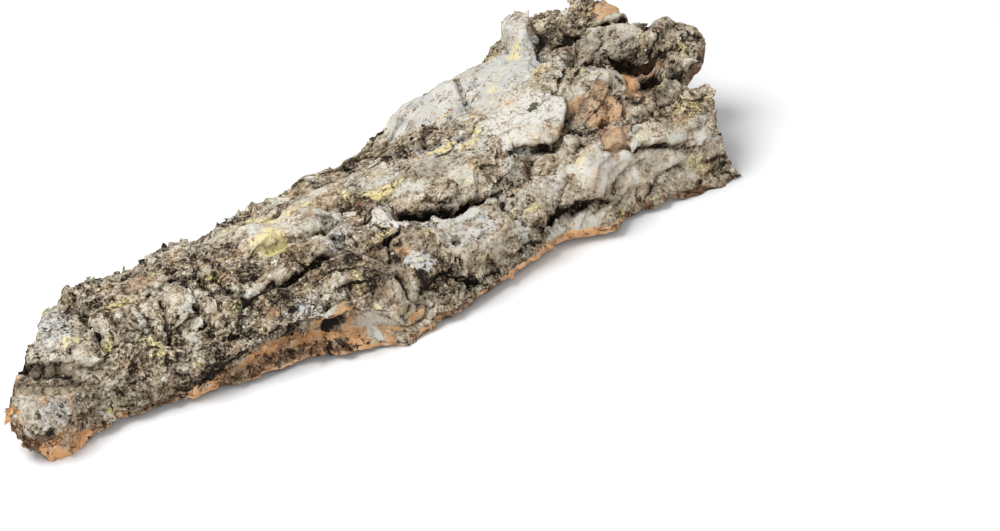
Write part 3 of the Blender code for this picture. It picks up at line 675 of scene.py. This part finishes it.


# Where lichen, bare cork, darker bark and painted shade show: x, v, half length, half width, turn,
# strength.
palePatches = [
    (322, -51, 14, 5, -10, 1.3), (48, 6, 15, 18, -10, 0.1), (109, -15, 15, 14, 0, 0.7),
    (66, -3, 4, 6, 0, 1), (98, 6, 16, 10, -8, 0.4), (178, 8, 30, 16, -8, 0.9),
    (148, 22, 26, 10, -5, 0.5), (214, 18, 34, 9, -8, 0.6), (240, 8, 34, 9, -10, 0.5),
    (268, -10, 22, 10, -18, 0.25), (223, -14, 9, 7, 0, 0.8), (252, -44, 31, 16, -24, 0.35),
    (196, -58, 18, 8, 0, 0.7), (300, 32, 24, 22, 10, 1), (334, 18, 34, 22, -15, 1),
    (318, -12, 32, 17, -30, 1), (318, -77, 20, 8, -8, 0.9), (360, 31, 12, 17, -15, 0.1),
    (340, -66, 26, 9, -15, 1), (350, -83, 12, 8, 0, 0.8), (376, -80, 26, 14, -15, 0.75),
    (362, -30, 14, 5, -20, 0.7), (302, -46, 16, 8, -10, 0.3), (388, -8, 16, 7, 0, 0.3),
    (338, -64, 26, 12, -20, 1.4), (185, -66, 14, 8, 0, 1.3), (321, -38, 16, 7, -30, 0.9),
    (152, -56, 12, 4, 0, 0.8), (79, -34, 10, 6, 0, 0.8), (264, -56, 14, 8, -20, 0.8),
    (12, -10, 7, 5, -28, 0.9), (131, -38, 12, 8, 0, 0.5), (130, -50, 16, 4, 0, 0.7),
    (33, 0, 8, 6, 0, 0.6), (282, 52, 14, 14, 0, 1), (407, -50, 9, 8, 0, 1)]
bluePatches = [
    (284, 50, 14, 14, 0, 0.9), (45, 8, 13, 16, -12, 0.62), (20, -24, 9, 7, -12, 0.45),
    (300, 32, 21, 20, 10, 1), (336, 18, 29, 19, -15, 1), (250, -40, 22, 12, -24, 0.6),
    (276, 4, 20, 8, -10, 0.65), (200, -6, 12, 6, 0, 0.6), (360, 30, 9, 14, -15, 0.62),
    (244, 8, 26, 7, -10, 0.45), (219, -45, 6, 7, 0, 0.9), (156, -40, 7, 6, 0, 0.5),
    (308, -50, 8, 5, 0, 0.4), (192, -13, 9, 6, 0, 0.6)]
whitePatches = [
    (309, -21, 9, 7, -30, 0.85), (224, -15, 8, 8, 0, 1.2), (312, -8, 20, 9, -32, 0.8),
    (332, -18, 14, 12, -32, 0.9), (182, 6, 5, 4, 0, 0.6), (268, -16, 6, 4, 0, 0.4),
    (163, 12, 5, 5, 0, 0.5)]
limePatches = [
    (166, 0, 11, 6, -10, 1), (184, 18, 20, 6, -12, 0.65), (234, 1, 11, 5, -20, 0.95),
    (274, 4, 8, 3, -8, 1), (64, -9, 2.5, 2.5, 0, 1), (298, 2, 5, 4, 0, 0.6), (396, -66, 8, 5, 0, 0.6),
    (388, -94, 6, 4, 0, 0.7), (352, 22, 5, 4, 0, 0.7), (350, 42, 5, 8, 0, 0.6),
    (326, -56, 8, 2.5, 0, 0.7), (128, -22, 6, 4, 0, 0.5), (154, 24, 10, 5, 0, 0.35)]
warmPatches = [
    (22, -50, 12, 5, 0, 0.9), (218, -36, 3, 5, 0, 0.95), (98, 14, 8, 5, 0, 0.4),
    (359, -43, 12, 9, -60, 0.85), (352, -56, 9, 6, -60, 0.6), (347, -60, 7, 4, -30, 0.7),
    (330, -33, 2.5, 2.5, 0, 1), (351, -30, 5, 2, -30, 0.9), (407, 8, 9, 4, -20, 1),
    (357, -60, 7, 4, 0, 0.8), (344, -82, 6, 4, 0, 0.4), (18, -18, 4, 4, 0, 0.5),
    (142, -30, 5, 3, 0, 0.5), (190, 4, 5, 2, 0, 0.6)]
# thin stretches of bare cork: points, half width
warmLines = [
    ([(158, -57), (164, -55), (168, -51), (172, -49), (175, -52), (176, -60), (174, -70)], 2.8),
    ([(188, -74), (195, -73), (203, -67), (209, -66)], 1.6), ([(379, -44), (382, -38), (387, -33),
    (393, -32), (398, -37)], 4.4), ([(9, -33), (14, -35), (20, -37), (27, -36)], 4.2), ([(9, -8),
    (10, -14), (8, -20)], 1), ([(31, -18), (30, -25), (31, -31)], 0.9)]
# smooth mid-grey lichen
greyPatches = [
    (264, -9, 16, 9, -18, 0.8), (279, -47, 12, 8, 0, 0.8), (48, 5, 14, 18, -12, 1),
    (22, -23, 13, 9, -12, 1), (373, -28, 8, 6, -20, 1), (371, -15, 4, 8, 30, 0.9),
    (250, -38, 24, 14, -24, 0.8), (192, -14, 9, 8, 0, 0.8), (391, -14, 20, 10, -28, 0.9),
    (334, -44, 12, 6, -20, 0.6), (302, -46, 14, 7, -15, 0.7)]
mossPatches = [(328, -14, 4, 3, -30, 1), (301, -1, 2, 1.6, 0, 0.8)]
# smooth brown wood without lichen
barePatches = [
    (27, -11, 20, 6, -28, 1), (320, -42, 14, 5, -35, 0.5), (230, -24, 12, 3, -20, 0.6),
    (192, -24, 10, 4, 0, 0.7), (186, -20, 6, 6, 0, 0.6), (300, -62, 30, 4, -8, 0.5)]
# darker bark, and painted shade in furrows, recesses, holes and under overhangs
darkAndShadePatches = [
    (314, -59, 12, 4, -25, 0.7), (250, -8, 14, 7, -18, 0.5), (170, -12, 16, 6, -10, 0.5),
    (48, 6, 18, 20, 0, 0.45), (216, 4, 16, 8, 0, 0.9), (379, 14, 14, 14, 0, 1),
    (414, -36, 16, 14, 0, 0.3), (392, -45, 4.5, 4.5, 0, 2), (16, -31, 3, 3, 0, 1),
    (167, -63, 4, 3, 0, 2), (355, -47, 2.5, 2.5, 0, 2), (72, -26, 22, 9, -20, 0.6),
    (104, -42, 20, 8, -8, 1), (146, -26, 24, 9, -5, 0.9), (164, -24, 16, 10, -10, 0.9),
    (204, -34, 10, 14, -20, 0.6), (202, -19, 8, 6, 0, 0.6), (116, -26, 6, 10, -10, 0.9),
    (236, -15, 22, 6, -25, 1.2), (370, 8, 14, 14, 0, 0.9), (390, -26, 16, 6, -25, 0.9),
    (394, -44, 4, 4, 0, 1.2), (300, -62, 34, 5, -8, 0.4), (306, -54, 12, 4, -20, 0.3),
    (236, -64, 16, 4, -30, 0.6), (316, -42, 12, 6, -30, 0.4), (310, 24, 5, 14, 20, 0.5),
    (366, 0, 8, 12, 0, 0.9), (418, -30, 13, 18, -10, 0.4), (72, 30, 12, 7, 0, 0.7),
    (34, -12, 16, 6, -28, 0.6)]
# painted shade in holes, cracks, gaps and under the hood, and small pale crusts
shadeSpots = [
    (191, -30, 5, 4, 0, 2), (181, -29, 4, 3, 0, 1.6), (128, -33, 6, 4, 0, 2), (216, -54, 4, 5, 0, 2.4),
    (214, -38, 4, 4, 0, 2), (376, -49, 6, 4, 0, 2), (395, -22, 8, 3, -20, 1.2), (397, 10, 5, 4, 0, 1.2),
    (376, -8, 5, 4, 0, 1.2), (252, 6, 6, 3, 0, 1.2), (298, 20, 5, 2.5, 60, 1.3),
    (278, 17, 9, 3, 20, 1.6), (207, -26, 4, 4, 0, 1.8), (193, -42, 5, 4, 0, 1.4),
    (386, -52, 4, 3, 0, 1.6), (106, -33, 6, 5, 0, 0.9), (231, -38, 4, 4, 0, 1.2),
    (381, -68, 5, 4, 0, 1.2), (346, -47, 3, 3, 0, 2.2), (144, -11, 6, 3, 0, 1.2),
    (156, -39, 5, 3, 0, 1), (383, -47, 5, 4, 0, 2), (398, -26, 7, 3, -20, 2), (60, 11, 4, 4, 0, 1.6),
    (117, -14, 6, 4, 0, 1.2), (240, -20, 6, 3, -30, 2)]
paleSpots = [
    (140, -15, 8, 4, 0, 1.2), (50, -15, 9, 4, -20, 1.2), (56, -25, 6, 4, 0, 1),
    (176, -69, 7, 4, 0, 1.2), (185, -5, 5, 4, 0, 1.6), (400, -42, 6, 4, 0, 1), (81, -5, 8, 5, 0, 0.8),
    (348, -17, 5, 4, 0, 1), (306, -67, 9, 3, -20, 1.6), (242, -11, 12, 4, -20, 1.2),
    (277, -41, 6, 5, 0, 1.2), (277, -58, 7, 5, 0, 1.4), (383, 35, 6, 6, 0, 1.2), (193, 38, 9, 5, 0, 1),
    (148, -20, 6, 4, 0, 1), (30, -17, 6, 3, -28, 1.4), (37, -9, 7, 3, -28, 0.9),
    (269, -20, 9, 4, -18, 1), (286, -13, 8, 4, 0, 1.1), (298, -30, 6, 4, 0, 1.2),
    (258, -36, 8, 4, 0, 1.3), (345, -71, 10, 5, 0, 1.6), (299, -67, 8, 4, 0, 1.6),
    (158, -15, 7, 4, 0, 1.2), (165, -50, 6, 4, 0, 1.2), (387, -96, 8, 4, 0, 1),
    (403, -45, 5, 4, 0, 1.2), (312, -67, 6, 3, 0, 1.6)]
# share of fresh cork along the broken near edge and on the other edges
nearFresh = [
    (0, 0.6), (8, 1), (32, 1), (36, 0.3), (40, 0), (44, 0.4), (48, 0.5), (51, 0), (56, 0.5), (62, 0.1),
    (86, 0.1), (92, 0.5), (101, 0.7), (106, 0.5), (114, 0.1), (125, 0.45), (170, 0.45), (174, 0.9),
    (180, 0.8), (190, 0.7), (205, 0.5), (216, 0.1), (252, 0.3), (262, 0.9), (318, 0.9), (330, 0.5),
    (338, 0), (408, 0), (416, 0.6), (440, 0.6)]
leftFresh = 0.3
otherFresh = 0.05
# share of the broken near edge that lichen has grown over
overgrown = [
    (0, 0), (36, 0), (42, 0.6), (84, 0.6), (92, 0.2), (110, 0.2), (118, 0), (177, 0), (181, 0.9),
    (196, 0.9), (202, 0.2), (222, 0.7), (250, 0.5), (258, 0), (440, 0)]


def patchField(patches, x, v):
    field = np.zeros(x.shape)
    for px, pv, halfLength, halfSpan, turn, strength in patches:
        radius = turnedRadius(x - px, v - pv, halfLength, halfSpan, turn)
        field = np.maximum(field, strength * (1 - ease(0.55, 1.35, radius)))
    return field


def sleekShare(x, v, rough):
    # where smooth lichen or bare wood covers the grit
    share = ease(0.7, 0.15, rough) * (0.3 + 0.55 * ease(130, 170, x))
    for patches in (bluePatches, greyPatches, whitePatches, barePatches):
        share = np.maximum(share, patchField(patches, x, v))
    share = np.maximum(share, ease(0.7, 1.2, patchField(palePatches, x, v)))
    return np.clip(share, 0, 1)


def barkMarks(x, v, sleek, gap, tag, s, t, depth):
    wavyX, wavyV = wavy(x, v, 3, 14, 401, 3)
    nearX = 0.7 * x + 0.3 * wavyX
    nearV = 0.7 * v + 0.3 * wavyV
    unseen = ease(40, 75, v)  # the far side has patches of its own
    random = 0.35 + 0.6 * layeredNoise(x, v, 38, 411, 3)

    def patched(patches, field=0):
        return np.maximum(patchField(patches, wavyX, wavyV), field)

    warm = patched(warmPatches, 0.7 * noise(x / 10, v / 7, 421) - 0.3)
    for points, halfSpan in warmLines:
        away = alongLine((x + wavyX) / 2, (v + wavyV) / 2, points)[0]
        warm = np.maximum(warm, 1.3 - 0.8 * away / halfSpan)
    # darker bark at random and in patches, with painted shade in furrows, holes, cracks and under the hood
    darkAndShade = patched(darkAndShadePatches, 0.8 * layeredNoise(x, v, 26, 425, 2))
    edge = np.minimum(np.minimum(t, 1 - t) * 150, np.minimum(s, 1 - s) * 400)  # mm to the nearest edge
    rim = (1 - ease(0, 2, edge)) * depth + (depth < 0.995) * (depth > 0.005)
    rim = rim * (1 - straight(overgrown, x) * (t < 0.05) * ease(0.15, 0.35, depth))
    rim = rim * (1 - 0.7 * (s > 0.95) * ease(0.3, 0.5, depth))
    fresh = np.where(t < 0.05, straight(nearFresh, x), np.where(s < 0.05, leftFresh, otherFresh))
    flange = ease(112, 124, x) * (1 - ease(170, 176, x)) * (t < 0.05)  # the hollowed near face
    middle = np.sin(np.pi * depth)
    fresh = fresh + (1 - flange) * (tag - 0.5) * 0.9 + flange * (1.1 * (1 - middle) ** 2 - 0.1)
    return {
        "bare": patched(barePatches),
        "pale": np.maximum(patched(palePatches, unseen * random), patchField(paleSpots, nearX, nearV)),
        "grey": patched(greyPatches, unseen * (random - 0.2)),
        "blue": patched(bluePatches, unseen * (random - 0.1)),
        "white": patched(whitePatches, 0.6 * noise(x / 9, v / 7, 419) - 0.1),
        "lime": patched(limePatches, 1.1 * noise(x / 15, v / 9, 417) - 0.25),
        "moss": patched(mossPatches),
        "warm": warm,
        "darkAndShade": np.maximum(darkAndShade, patchField(shadeSpots, nearX, nearV)),
        "rim": np.clip(rim, 0, 1),
        "fresh": fresh,
        # painted shade in the splits between rim chunks and across the middle of the hollowed near face
        "splitShade": np.maximum(np.exp(-(gap / 0.1) ** 2), 0.4 * flange * ease(0.7, 1, middle)) * middle,
        "hollow": np.where(depth < 0.005, 1.0, 0.0),
        "smooth": sleek,
    }


class Nodes:
    # short helper for wiring a material
    def __init__(self, name):
        self.material = bpy.data.materials.new(name)
        self.material.use_nodes = True
        self.tree = self.material.node_tree
        self.shader = self.tree.nodes["Principled BSDF"]
        self.place = self.make("ShaderNodeTexCoord").outputs["Object"]

    def make(self, kind, sockets=(), **settings):
        node = self.tree.nodes.new(kind)
        for key, value in settings.items():
            setattr(node, key, value)
        for key, value in dict(sockets).items():
            self.link(value, node.inputs[key])
        return node

    def link(self, source, target):
        # the source is another node's output, the name of a colour, or a plain value
        if hasattr(source, "is_output"):
            self.tree.links.new(source, target)
        else:
            target.default_value = colour(*barkFinish[source]) if isinstance(source, str) else source

    def mark(self, name):
        return self.make("ShaderNodeAttribute", attribute_name=name).outputs["Fac"]

    def math(self, operation, *values, clamp=False):
        node = self.make("ShaderNodeMath", enumerate(values), operation=operation, use_clamp=clamp)
        return node.outputs[0]

    def times(self, first, second):
        return self.math("MULTIPLY", first, second)

    def centred(self, value):
        return self.math("SUBTRACT", value, 0.5)

    def total(self, start, *terms):
        for value, weight in terms:
            start = self.math("MULTIPLY_ADD", value, weight, start)
        return start

    def ramp(self, value, low, high, to0=0.0, to1=1.0):
        sockets = enumerate((value, low, high, to0, to1))
        return self.make("ShaderNodeMapRange", sockets, interpolation_type="SMOOTHSTEP").outputs[0]

    def moved(self, place, offset, stretch=(1, 1, 1)):
        return self.make("ShaderNodeMapping", {"Vector": place, "Location": (offset, offset, offset),
                                               "Scale": stretch}).outputs[0]

    def noise(self, size, detail=3, rough=0.55, offset=0.0, warp=0.0, stretch=(1, 1, 1)):
        return self.make("ShaderNodeTexNoise", {
            "Vector": self.moved(self.place, offset, stretch), "Scale": 1000 / size,
            "Detail": detail, "Roughness": rough, "Distortion": warp}).outputs["Fac"]

    def raggedCells(self, size, offset, shake, reach, feature="F1"):
        # cells of a size in mm, read at places that a finer noise has shaken
        shaken = self.make("ShaderNodeTexNoise", {"Vector": self.place, "Scale": shake / size})
        away = reach * size * mm
        place = self.make("ShaderNodeVectorMath", {0: shaken.outputs["Color"], 1: (away, away, away),
                                                   2: self.place}, operation="MULTIPLY_ADD")
        return self.make("ShaderNodeTexVoronoi", {"Vector": self.moved(place.outputs[0], offset),
                                                  "Scale": 1000 / size}, feature=feature).outputs

    def cellTone(self, size, offset=0.0):
        # one random value for each small ragged cell
        tint = self.raggedCells(size, offset, 1300, 1)["Color"]
        return self.make("ShaderNodeSeparateColor", {0: tint}).outputs[0]

    def cracks(self, size, width, offset=0.0):
        # thin ragged lines between cells
        border = self.raggedCells(size, offset, 2500, 0.5, "DISTANCE_TO_EDGE")["Distance"]
        return self.ramp(border, 0, width, 1, 0)

    def scale(self, value, stops):
        # a colour for each stop, blended between them
        node = self.make("ShaderNodeValToRGB", {0: value})
        steps = node.color_ramp.elements
        while len(steps) < len(stops):
            steps.new(1)
        for step, (place, name) in zip(steps, stops):
            step.position = place
            step.color = colour(*barkFinish[name])
        return node.outputs[0]

    def mix(self, share, first, second, kind="MIX"):
        return self.make("ShaderNodeMix", {0: share, 6: first, 7: second}, data_type="RGBA",
                         blend_type=kind).outputs[2]

    def blend(self, first, second, field, low, high, weak=0.0, strong=1.0, kind="MIX"):
        # the first colour where the field is low, and the second where it is high
        return self.mix(self.ramp(field, low, high, weak, strong), first, second, kind)

    def bump(self, height, distance, strength=1.0, under=None):
        sockets = {"Strength": strength, "Distance": distance * mm, "Height": height}
        if under is not None:
            sockets["Normal"] = under
        return self.make("ShaderNodeBump", sockets).outputs[0]


def colour(red, green, blue):
    # a colour as seen on screen, 0 to 255, turned to linear light
    def linear(value):
        value /= 255
        return value / 12.92 if value <= 0.04045 else ((value + 0.055) / 1.055) ** 2.4
    return (linear(red), linear(green), linear(blue), 1)


barkFinish = {
    "pit": (26, 21, 17), "umber": (78, 64, 50), "greyBrown": (132, 117, 98), "drab": (166, 152, 131),
    "cream": (200, 190, 171), "chalk": (210, 207, 199), "blueGrey": (187, 190, 191),
    "white": (214, 211, 203), "lime": (224, 211, 152), "moss": (112, 104, 70), "darkMoss": (52, 56, 34),
    "russet": (150, 98, 74), "warmTint": (255, 240, 222), "coolTint": (236, 246, 250),
    "midGrey": (146, 138, 124), "paleGrey": (196, 190, 178), "wood": (104, 90, 74),
    "paleWood": (160, 148, 128), "freshCork": (206, 162, 118), "paleCork": (214, 188, 160),
    "brightCork": (248, 190, 132), "oldCork": (160, 122, 92), "agedCork": (128, 98, 74),
    "darkCork": (72, 46, 30), "tanned": (148, 120, 96), "goldCork": (206, 150, 92),
    "hollowTan": (160, 128, 98), "hollowDark": (96, 72, 52),
}


# how much each mark lightens (or darkens) the bark; pit, cranny and steep are painted shade, crest is
# painted highlight, and dark is darker bark with painted shade in it
markWeights = {"pale": 0.32, "darkAndShade": -0.24, "tint": 1, "pit": -0.3, "crannyShade": -0.45, "crestHighlight": 0.16,
               "steep": -0.3}


def barkMaterial():
    n = Nodes("barkAndLichen")
    calm = n.mark("smooth")

    def byCalm(gritty, smooth):
        return n.ramp(calm, 0, 1, gritty, smooth)

    # how light the bark is at each spot, from grains, patches and the marks of the mesh, with painted
    # shade in pits, crannies and on steep faces and painted highlight on crests
    dust = n.centred(n.cellTone(0.8, offset=4))
    grains = n.cellTone(1.25)
    grain = n.centred(grains)
    coarse = n.centred(n.cellTone(2.9, offset=2))
    wave = n.centred(n.noise(4.5, 4, 0.65, offset=5, warp=0.4))
    fine = n.centred(n.noise(1.7, 4, 0.7, offset=6, warp=0.6))
    broad = n.centred(n.noise(19, 3, 0.6, offset=7))
    clusters = n.ramp(n.noise(9, 4, 0.65, offset=41), 0.42, 0.62)
    holes = n.times(n.ramp(n.cellTone(1.15, offset=43), 0.16, 0.24, 1, 0), n.ramp(clusters, 0, 1, 0.25, 1))
    flecks = n.ramp(n.cellTone(1.4, offset=45), 0.86, 0.92)
    crackle = n.times(n.cracks(5.5, 0.14, offset=49), n.ramp(n.noise(16, 3, 0.6, offset=51), 0.4, 0.6))
    light = n.total(
        0.57, (dust, byCalm(0.3, 0.14)), (grain, byCalm(0.3, 0.14)), (coarse, byCalm(0.3, 0.12)),
        (fine, byCalm(0.8, 0.35)), (wave, byCalm(0.7, 0.45)), (broad, byCalm(0.9, 0.6)),
        (holes, -0.3), (flecks, 0.12), (crackle, -0.24),
        *((n.mark(name), weight) for name, weight in markWeights.items()))
    skin = n.scale(light, [(0.06, "pit"), (0.24, "umber"), (0.42, "greyBrown"), (0.6, "drab"),
                           (0.8, "cream"), (1, "chalk")])

    # warmer and cooler stretches, and smooth bare wood
    warmth = n.noise(13, 4, 0.6, offset=33)
    skin = n.blend(skin, "warmTint", warmth, 0.5, 0.72, kind="MULTIPLY")
    skin = n.blend(skin, "coolTint", warmth, 0.5, 0.3, kind="MULTIPLY")
    fibres = n.total(light, (n.centred(n.noise(2.6, 4, 0.7, offset=35, stretch=(0.3, 1, 1))), 1.2))
    wood = n.scale(fibres, [(0.1, "pit"), (0.34, "wood"), (0.75, "paleWood"), (1, "drab")])
    skin = n.blend(skin, wood, n.total(n.mark("bare"), (wave, 0.9)), 0.4, 0.7, 0, 0.85)

    # lichens, each with a ragged edge that lets the specks through
    ragged = n.total(0.0, (wave, 1.8), (grain, 0.4), (dust, 0.35))
    specks = n.math("SUBTRACT", n.ramp(n.cellTone(1.6, offset=9), 0.08, 0.14), holes, clamp=True)
    # less lichen on steep faces turned down and where the dark mark is strong, which also keeps the
    # painted shade there dark
    upward = n.math("SUBTRACT", 1.0, n.mark("steep"))

    def cover(mark, low, high, share, lichen):
        spread = n.ramp(n.math("ADD", n.mark(mark), ragged), low, high)
        lit = n.times(upward, n.ramp(n.mark("darkAndShade"), 0.9, 1.8, share, 0))
        return n.mix(n.times(n.times(spread, specks), lit), skin, lichen)

    plain = n.scale(n.total(light, (n.mark("grey"), 0.02)),
                    [(0.05, "pit"), (0.25, "umber"), (0.42, "midGrey"), (0.9, "paleGrey")])
    soft = n.blend("blueGrey", "chalk", n.noise(7, 4, 0.6, offset=11), 0.4, 0.62)
    soft = n.mix(n.times(n.ramp(n.noise(2.2, 3, 0.6, offset=12), 0.5, 0.68), 0.3), soft, "drab")
    white = n.blend("white", "umber", n.noise(2.6, 4, 0.7, offset=53, warp=0.5), 0.57, 0.62, 0, 0.85)
    skin = cover("grey", 0.42, 0.66, 0.85, plain)
    skin = cover("blue", 0.42, 0.62, 0.9, soft)
    skin = cover("white", 0.5, 0.58, 1.0, white)
    skin = cover("lime", 0.36, 0.74, 0.85, "lime")
    skin = n.blend(skin, "darkMoss", n.total(n.mark("moss"), (fine, 3)), 0.5, 0.75, 0, 0.9)
    skin = n.mix(n.times(n.ramp(n.noise(8, 4, 0.7, offset=15), 0.6, 0.68), 0.5), skin, "moss")
    skin = n.mix(n.times(n.ramp(n.noise(5, 3, 0.7, offset=21), 0.66, 0.7), 0.7), skin, "russet")

    # bare cork, fresh and weathered
    streaks = n.noise(3.2, 4, 0.6, offset=13, stretch=(1, 1, 0.4))
    cork = n.blend("oldCork", "freshCork", streaks, 0.36, 0.56)
    cork = n.blend(cork, "paleCork", n.noise(6, 3, 0.6, offset=14), 0.5, 0.62)
    cork = n.blend(cork, "agedCork", n.noise(4, 4, 0.7, offset=47), 0.56, 0.7, 0, 0.7)
    cork = n.blend(cork, "darkCork", n.noise(1.8, 3, 0.7, offset=16), 0.32, 0.4, 0.8, 0)
    # painted shade: cork darker in crannies
    cork = n.blend(cork, "darkCork", n.mark("crannyShade"), 0.1, 0.7, 0, 0.8)
    patchy = n.mix(0.3, cork, "drab")
    patchy = n.blend(patchy, "greyBrown", n.noise(4, 4, 0.75, offset=55, warp=0.5), 0.54, 0.62, 0, 0.7)
    patchy = n.blend(patchy, "darkCork", light, 0.08, 0.36, 0.85, 0)
    warm = n.total(n.mark("warm"), (ragged, 0.8))
    golden = n.times(n.ramp(warm, 0.9, 1.25, 0, 0.75), n.ramp(light, 0.08, 0.36))
    skin = n.blend(skin, "tanned", n.total(n.mark("warm"), (ragged, 0.3)), 0.12, 0.55, 0, 0.55)
    skin = n.blend(skin, patchy, warm, 0.46, 0.7)
    skin = n.mix(golden, skin, "goldCork")

    # the broken rim: fresh in places, weathered brown between
    weathered = n.blend("darkCork", "agedCork", n.total(streaks, (grain, 0.25)), 0.36, 0.6)
    weathered = n.blend(weathered, "drab", n.noise(7, 4, 0.7, offset=37), 0.52, 0.6)
    rim = n.blend(weathered, cork, n.math("ADD", n.mark("fresh"), n.times(ragged, 0.5)), 0.42, 0.56)
    rim = n.blend(rim, "brightCork", n.mark("fresh"), 0.4, 1, 0, 0.45)
    rim = n.blend(rim, "pit", n.noise(3.2, 3, 0.75, offset=27, stretch=(1, 1, 0.16)), 0.34, 0.38, 0.9, 0)
    # painted shade in the splits and across the middle of the hollowed near face
    rim = n.blend(rim, "pit", n.mark("splitShade"), 0.3, 0.8, 0, 0.9)
    skin = n.blend(skin, rim, n.math("ADD", n.mark("rim"), n.times(ragged, 0.35)), 0.45, 0.6)

    # the hollow side
    bands = n.noise(7, 5, 0.7, offset=17, stretch=(0.35, 1, 1))
    hollow = n.blend("hollowDark", "hollowTan", bands, 0.35, 0.65)
    hollow = n.blend(hollow, "pit", n.cellTone(1.8, offset=18), 0.12, 0.2, 0.8, 0)
    skin = n.mix(n.mark("hollow"), skin, hollow)

    n.link(skin, n.shader.inputs["Base Color"])
    n.link(byCalm(0.95, 0.82), n.shader.inputs["Roughness"])
    n.shader.inputs["Specular IOR Level"].default_value = 0.2
    pores = n.bump(n.noise(0.9, 3, 0.7, offset=19), 0.4, 0.8)
    crust = n.bump(grains, 0.35, 0.7, pores)
    crust = n.bump(n.noise(3, 4, 0.65, offset=23), 0.9, 0.8, crust)
    n.link(crust, n.shader.inputs["Normal"])
    return n.material


studio = {
    "floorSize": 6.0,
    "floorColour": colour(236, 237, 238),
    "worldStrength": 0.55,
    "keyPower": 26,
    "keySize": 1.1,
    "keyPlace": (-0.55, 0.35, 1.5),
    "fillPower": 7,
    "fillSize": 1.4,
    "fillPlace": (-0.6, -1.6, 0.9),
}

photoCamera = {
    "yaw": 31.563,  # the way the camera looks, turned from +Y towards +X
    "down": 36.680,
    "roll": 7.0,
    "distance": 1.7,
    "span": 0.526,  # width of the view at the target
    "target": (0.060151, -0.04835, -0.016262),
}


def addFloor():
    bpy.ops.mesh.primitive_plane_add(size=studio["floorSize"], location=(0, 0, 0))
    floor = bpy.context.object
    floor.name = "studioFloor"
    n = Nodes("paleFloor")
    n.shader.inputs["Base Color"].default_value = studio["floorColour"]
    n.shader.inputs["Roughness"].default_value = 0.6
    floor.data.materials.append(n.material)


def addSoftLight(name, place, size, power):
    light = bpy.data.lights.new(name, "AREA")
    light.shape = "DISK"
    light.size = size
    light.energy = power
    lamp = bpy.data.objects.new(name, light)
    lamp.location = place
    lamp.rotation_mode = "QUATERNION"
    lamp.rotation_quaternion = (-Vector(place)).to_track_quat("-Z", "Y")
    bpy.context.scene.collection.objects.link(lamp)


def addWorld():
    world = bpy.data.worlds.new("paleRoom")
    world.use_nodes = True
    back = world.node_tree.nodes["Background"]
    back.inputs["Color"].default_value = (1, 1, 1, 1)
    back.inputs["Strength"].default_value = studio["worldStrength"]
    bpy.context.scene.world = world
    bpy.context.scene.view_settings.view_transform = "Standard"


def addCamera():
    yaw = math.radians(photoCamera["yaw"])
    down = math.radians(photoCamera["down"])
    roll = math.radians(photoCamera["roll"])
    ahead = Vector((math.sin(yaw) * math.cos(down), math.cos(yaw) * math.cos(down), -math.sin(down)))
    level = Vector((math.cos(yaw), -math.sin(yaw), 0))
    upright = level.cross(ahead)
    right = math.cos(roll) * level - math.sin(roll) * upright
    up = math.sin(roll) * level + math.cos(roll) * upright
    lens = bpy.data.cameras.new("photoCamera")
    lens.sensor_width = 36
    lens.lens = 36 * photoCamera["distance"] / photoCamera["span"]
    camera = bpy.data.objects.new("photoCamera", lens)
    turn = Matrix((right, up, -ahead)).transposed().to_4x4()
    place = Vector(photoCamera["target"]) - ahead * photoCamera["distance"]
    camera.matrix_world = Matrix.Translation(place) @ turn
    bpy.context.scene.collection.objects.link(camera)
    bpy.context.scene.camera = camera


slab = buildSlab()
bark = barkMaterial()
slab.data.materials.clear()
for piece in [slab] + [scatterBits(name, slab) for name in ("crumbs", "flakes", "splinters")]:
    piece.data.materials.append(bark)
    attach(piece, "root")
    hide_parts("cork_bark_panel")
print("slab finished")

addFloor()
addWorld()
addSoftLight("keyLight", studio["keyPlace"], studio["keySize"], studio["keyPower"])
addSoftLight("fillLight", studio["fillPlace"], studio["fillSize"], studio["fillPower"])
addCamera()
print("studio set")
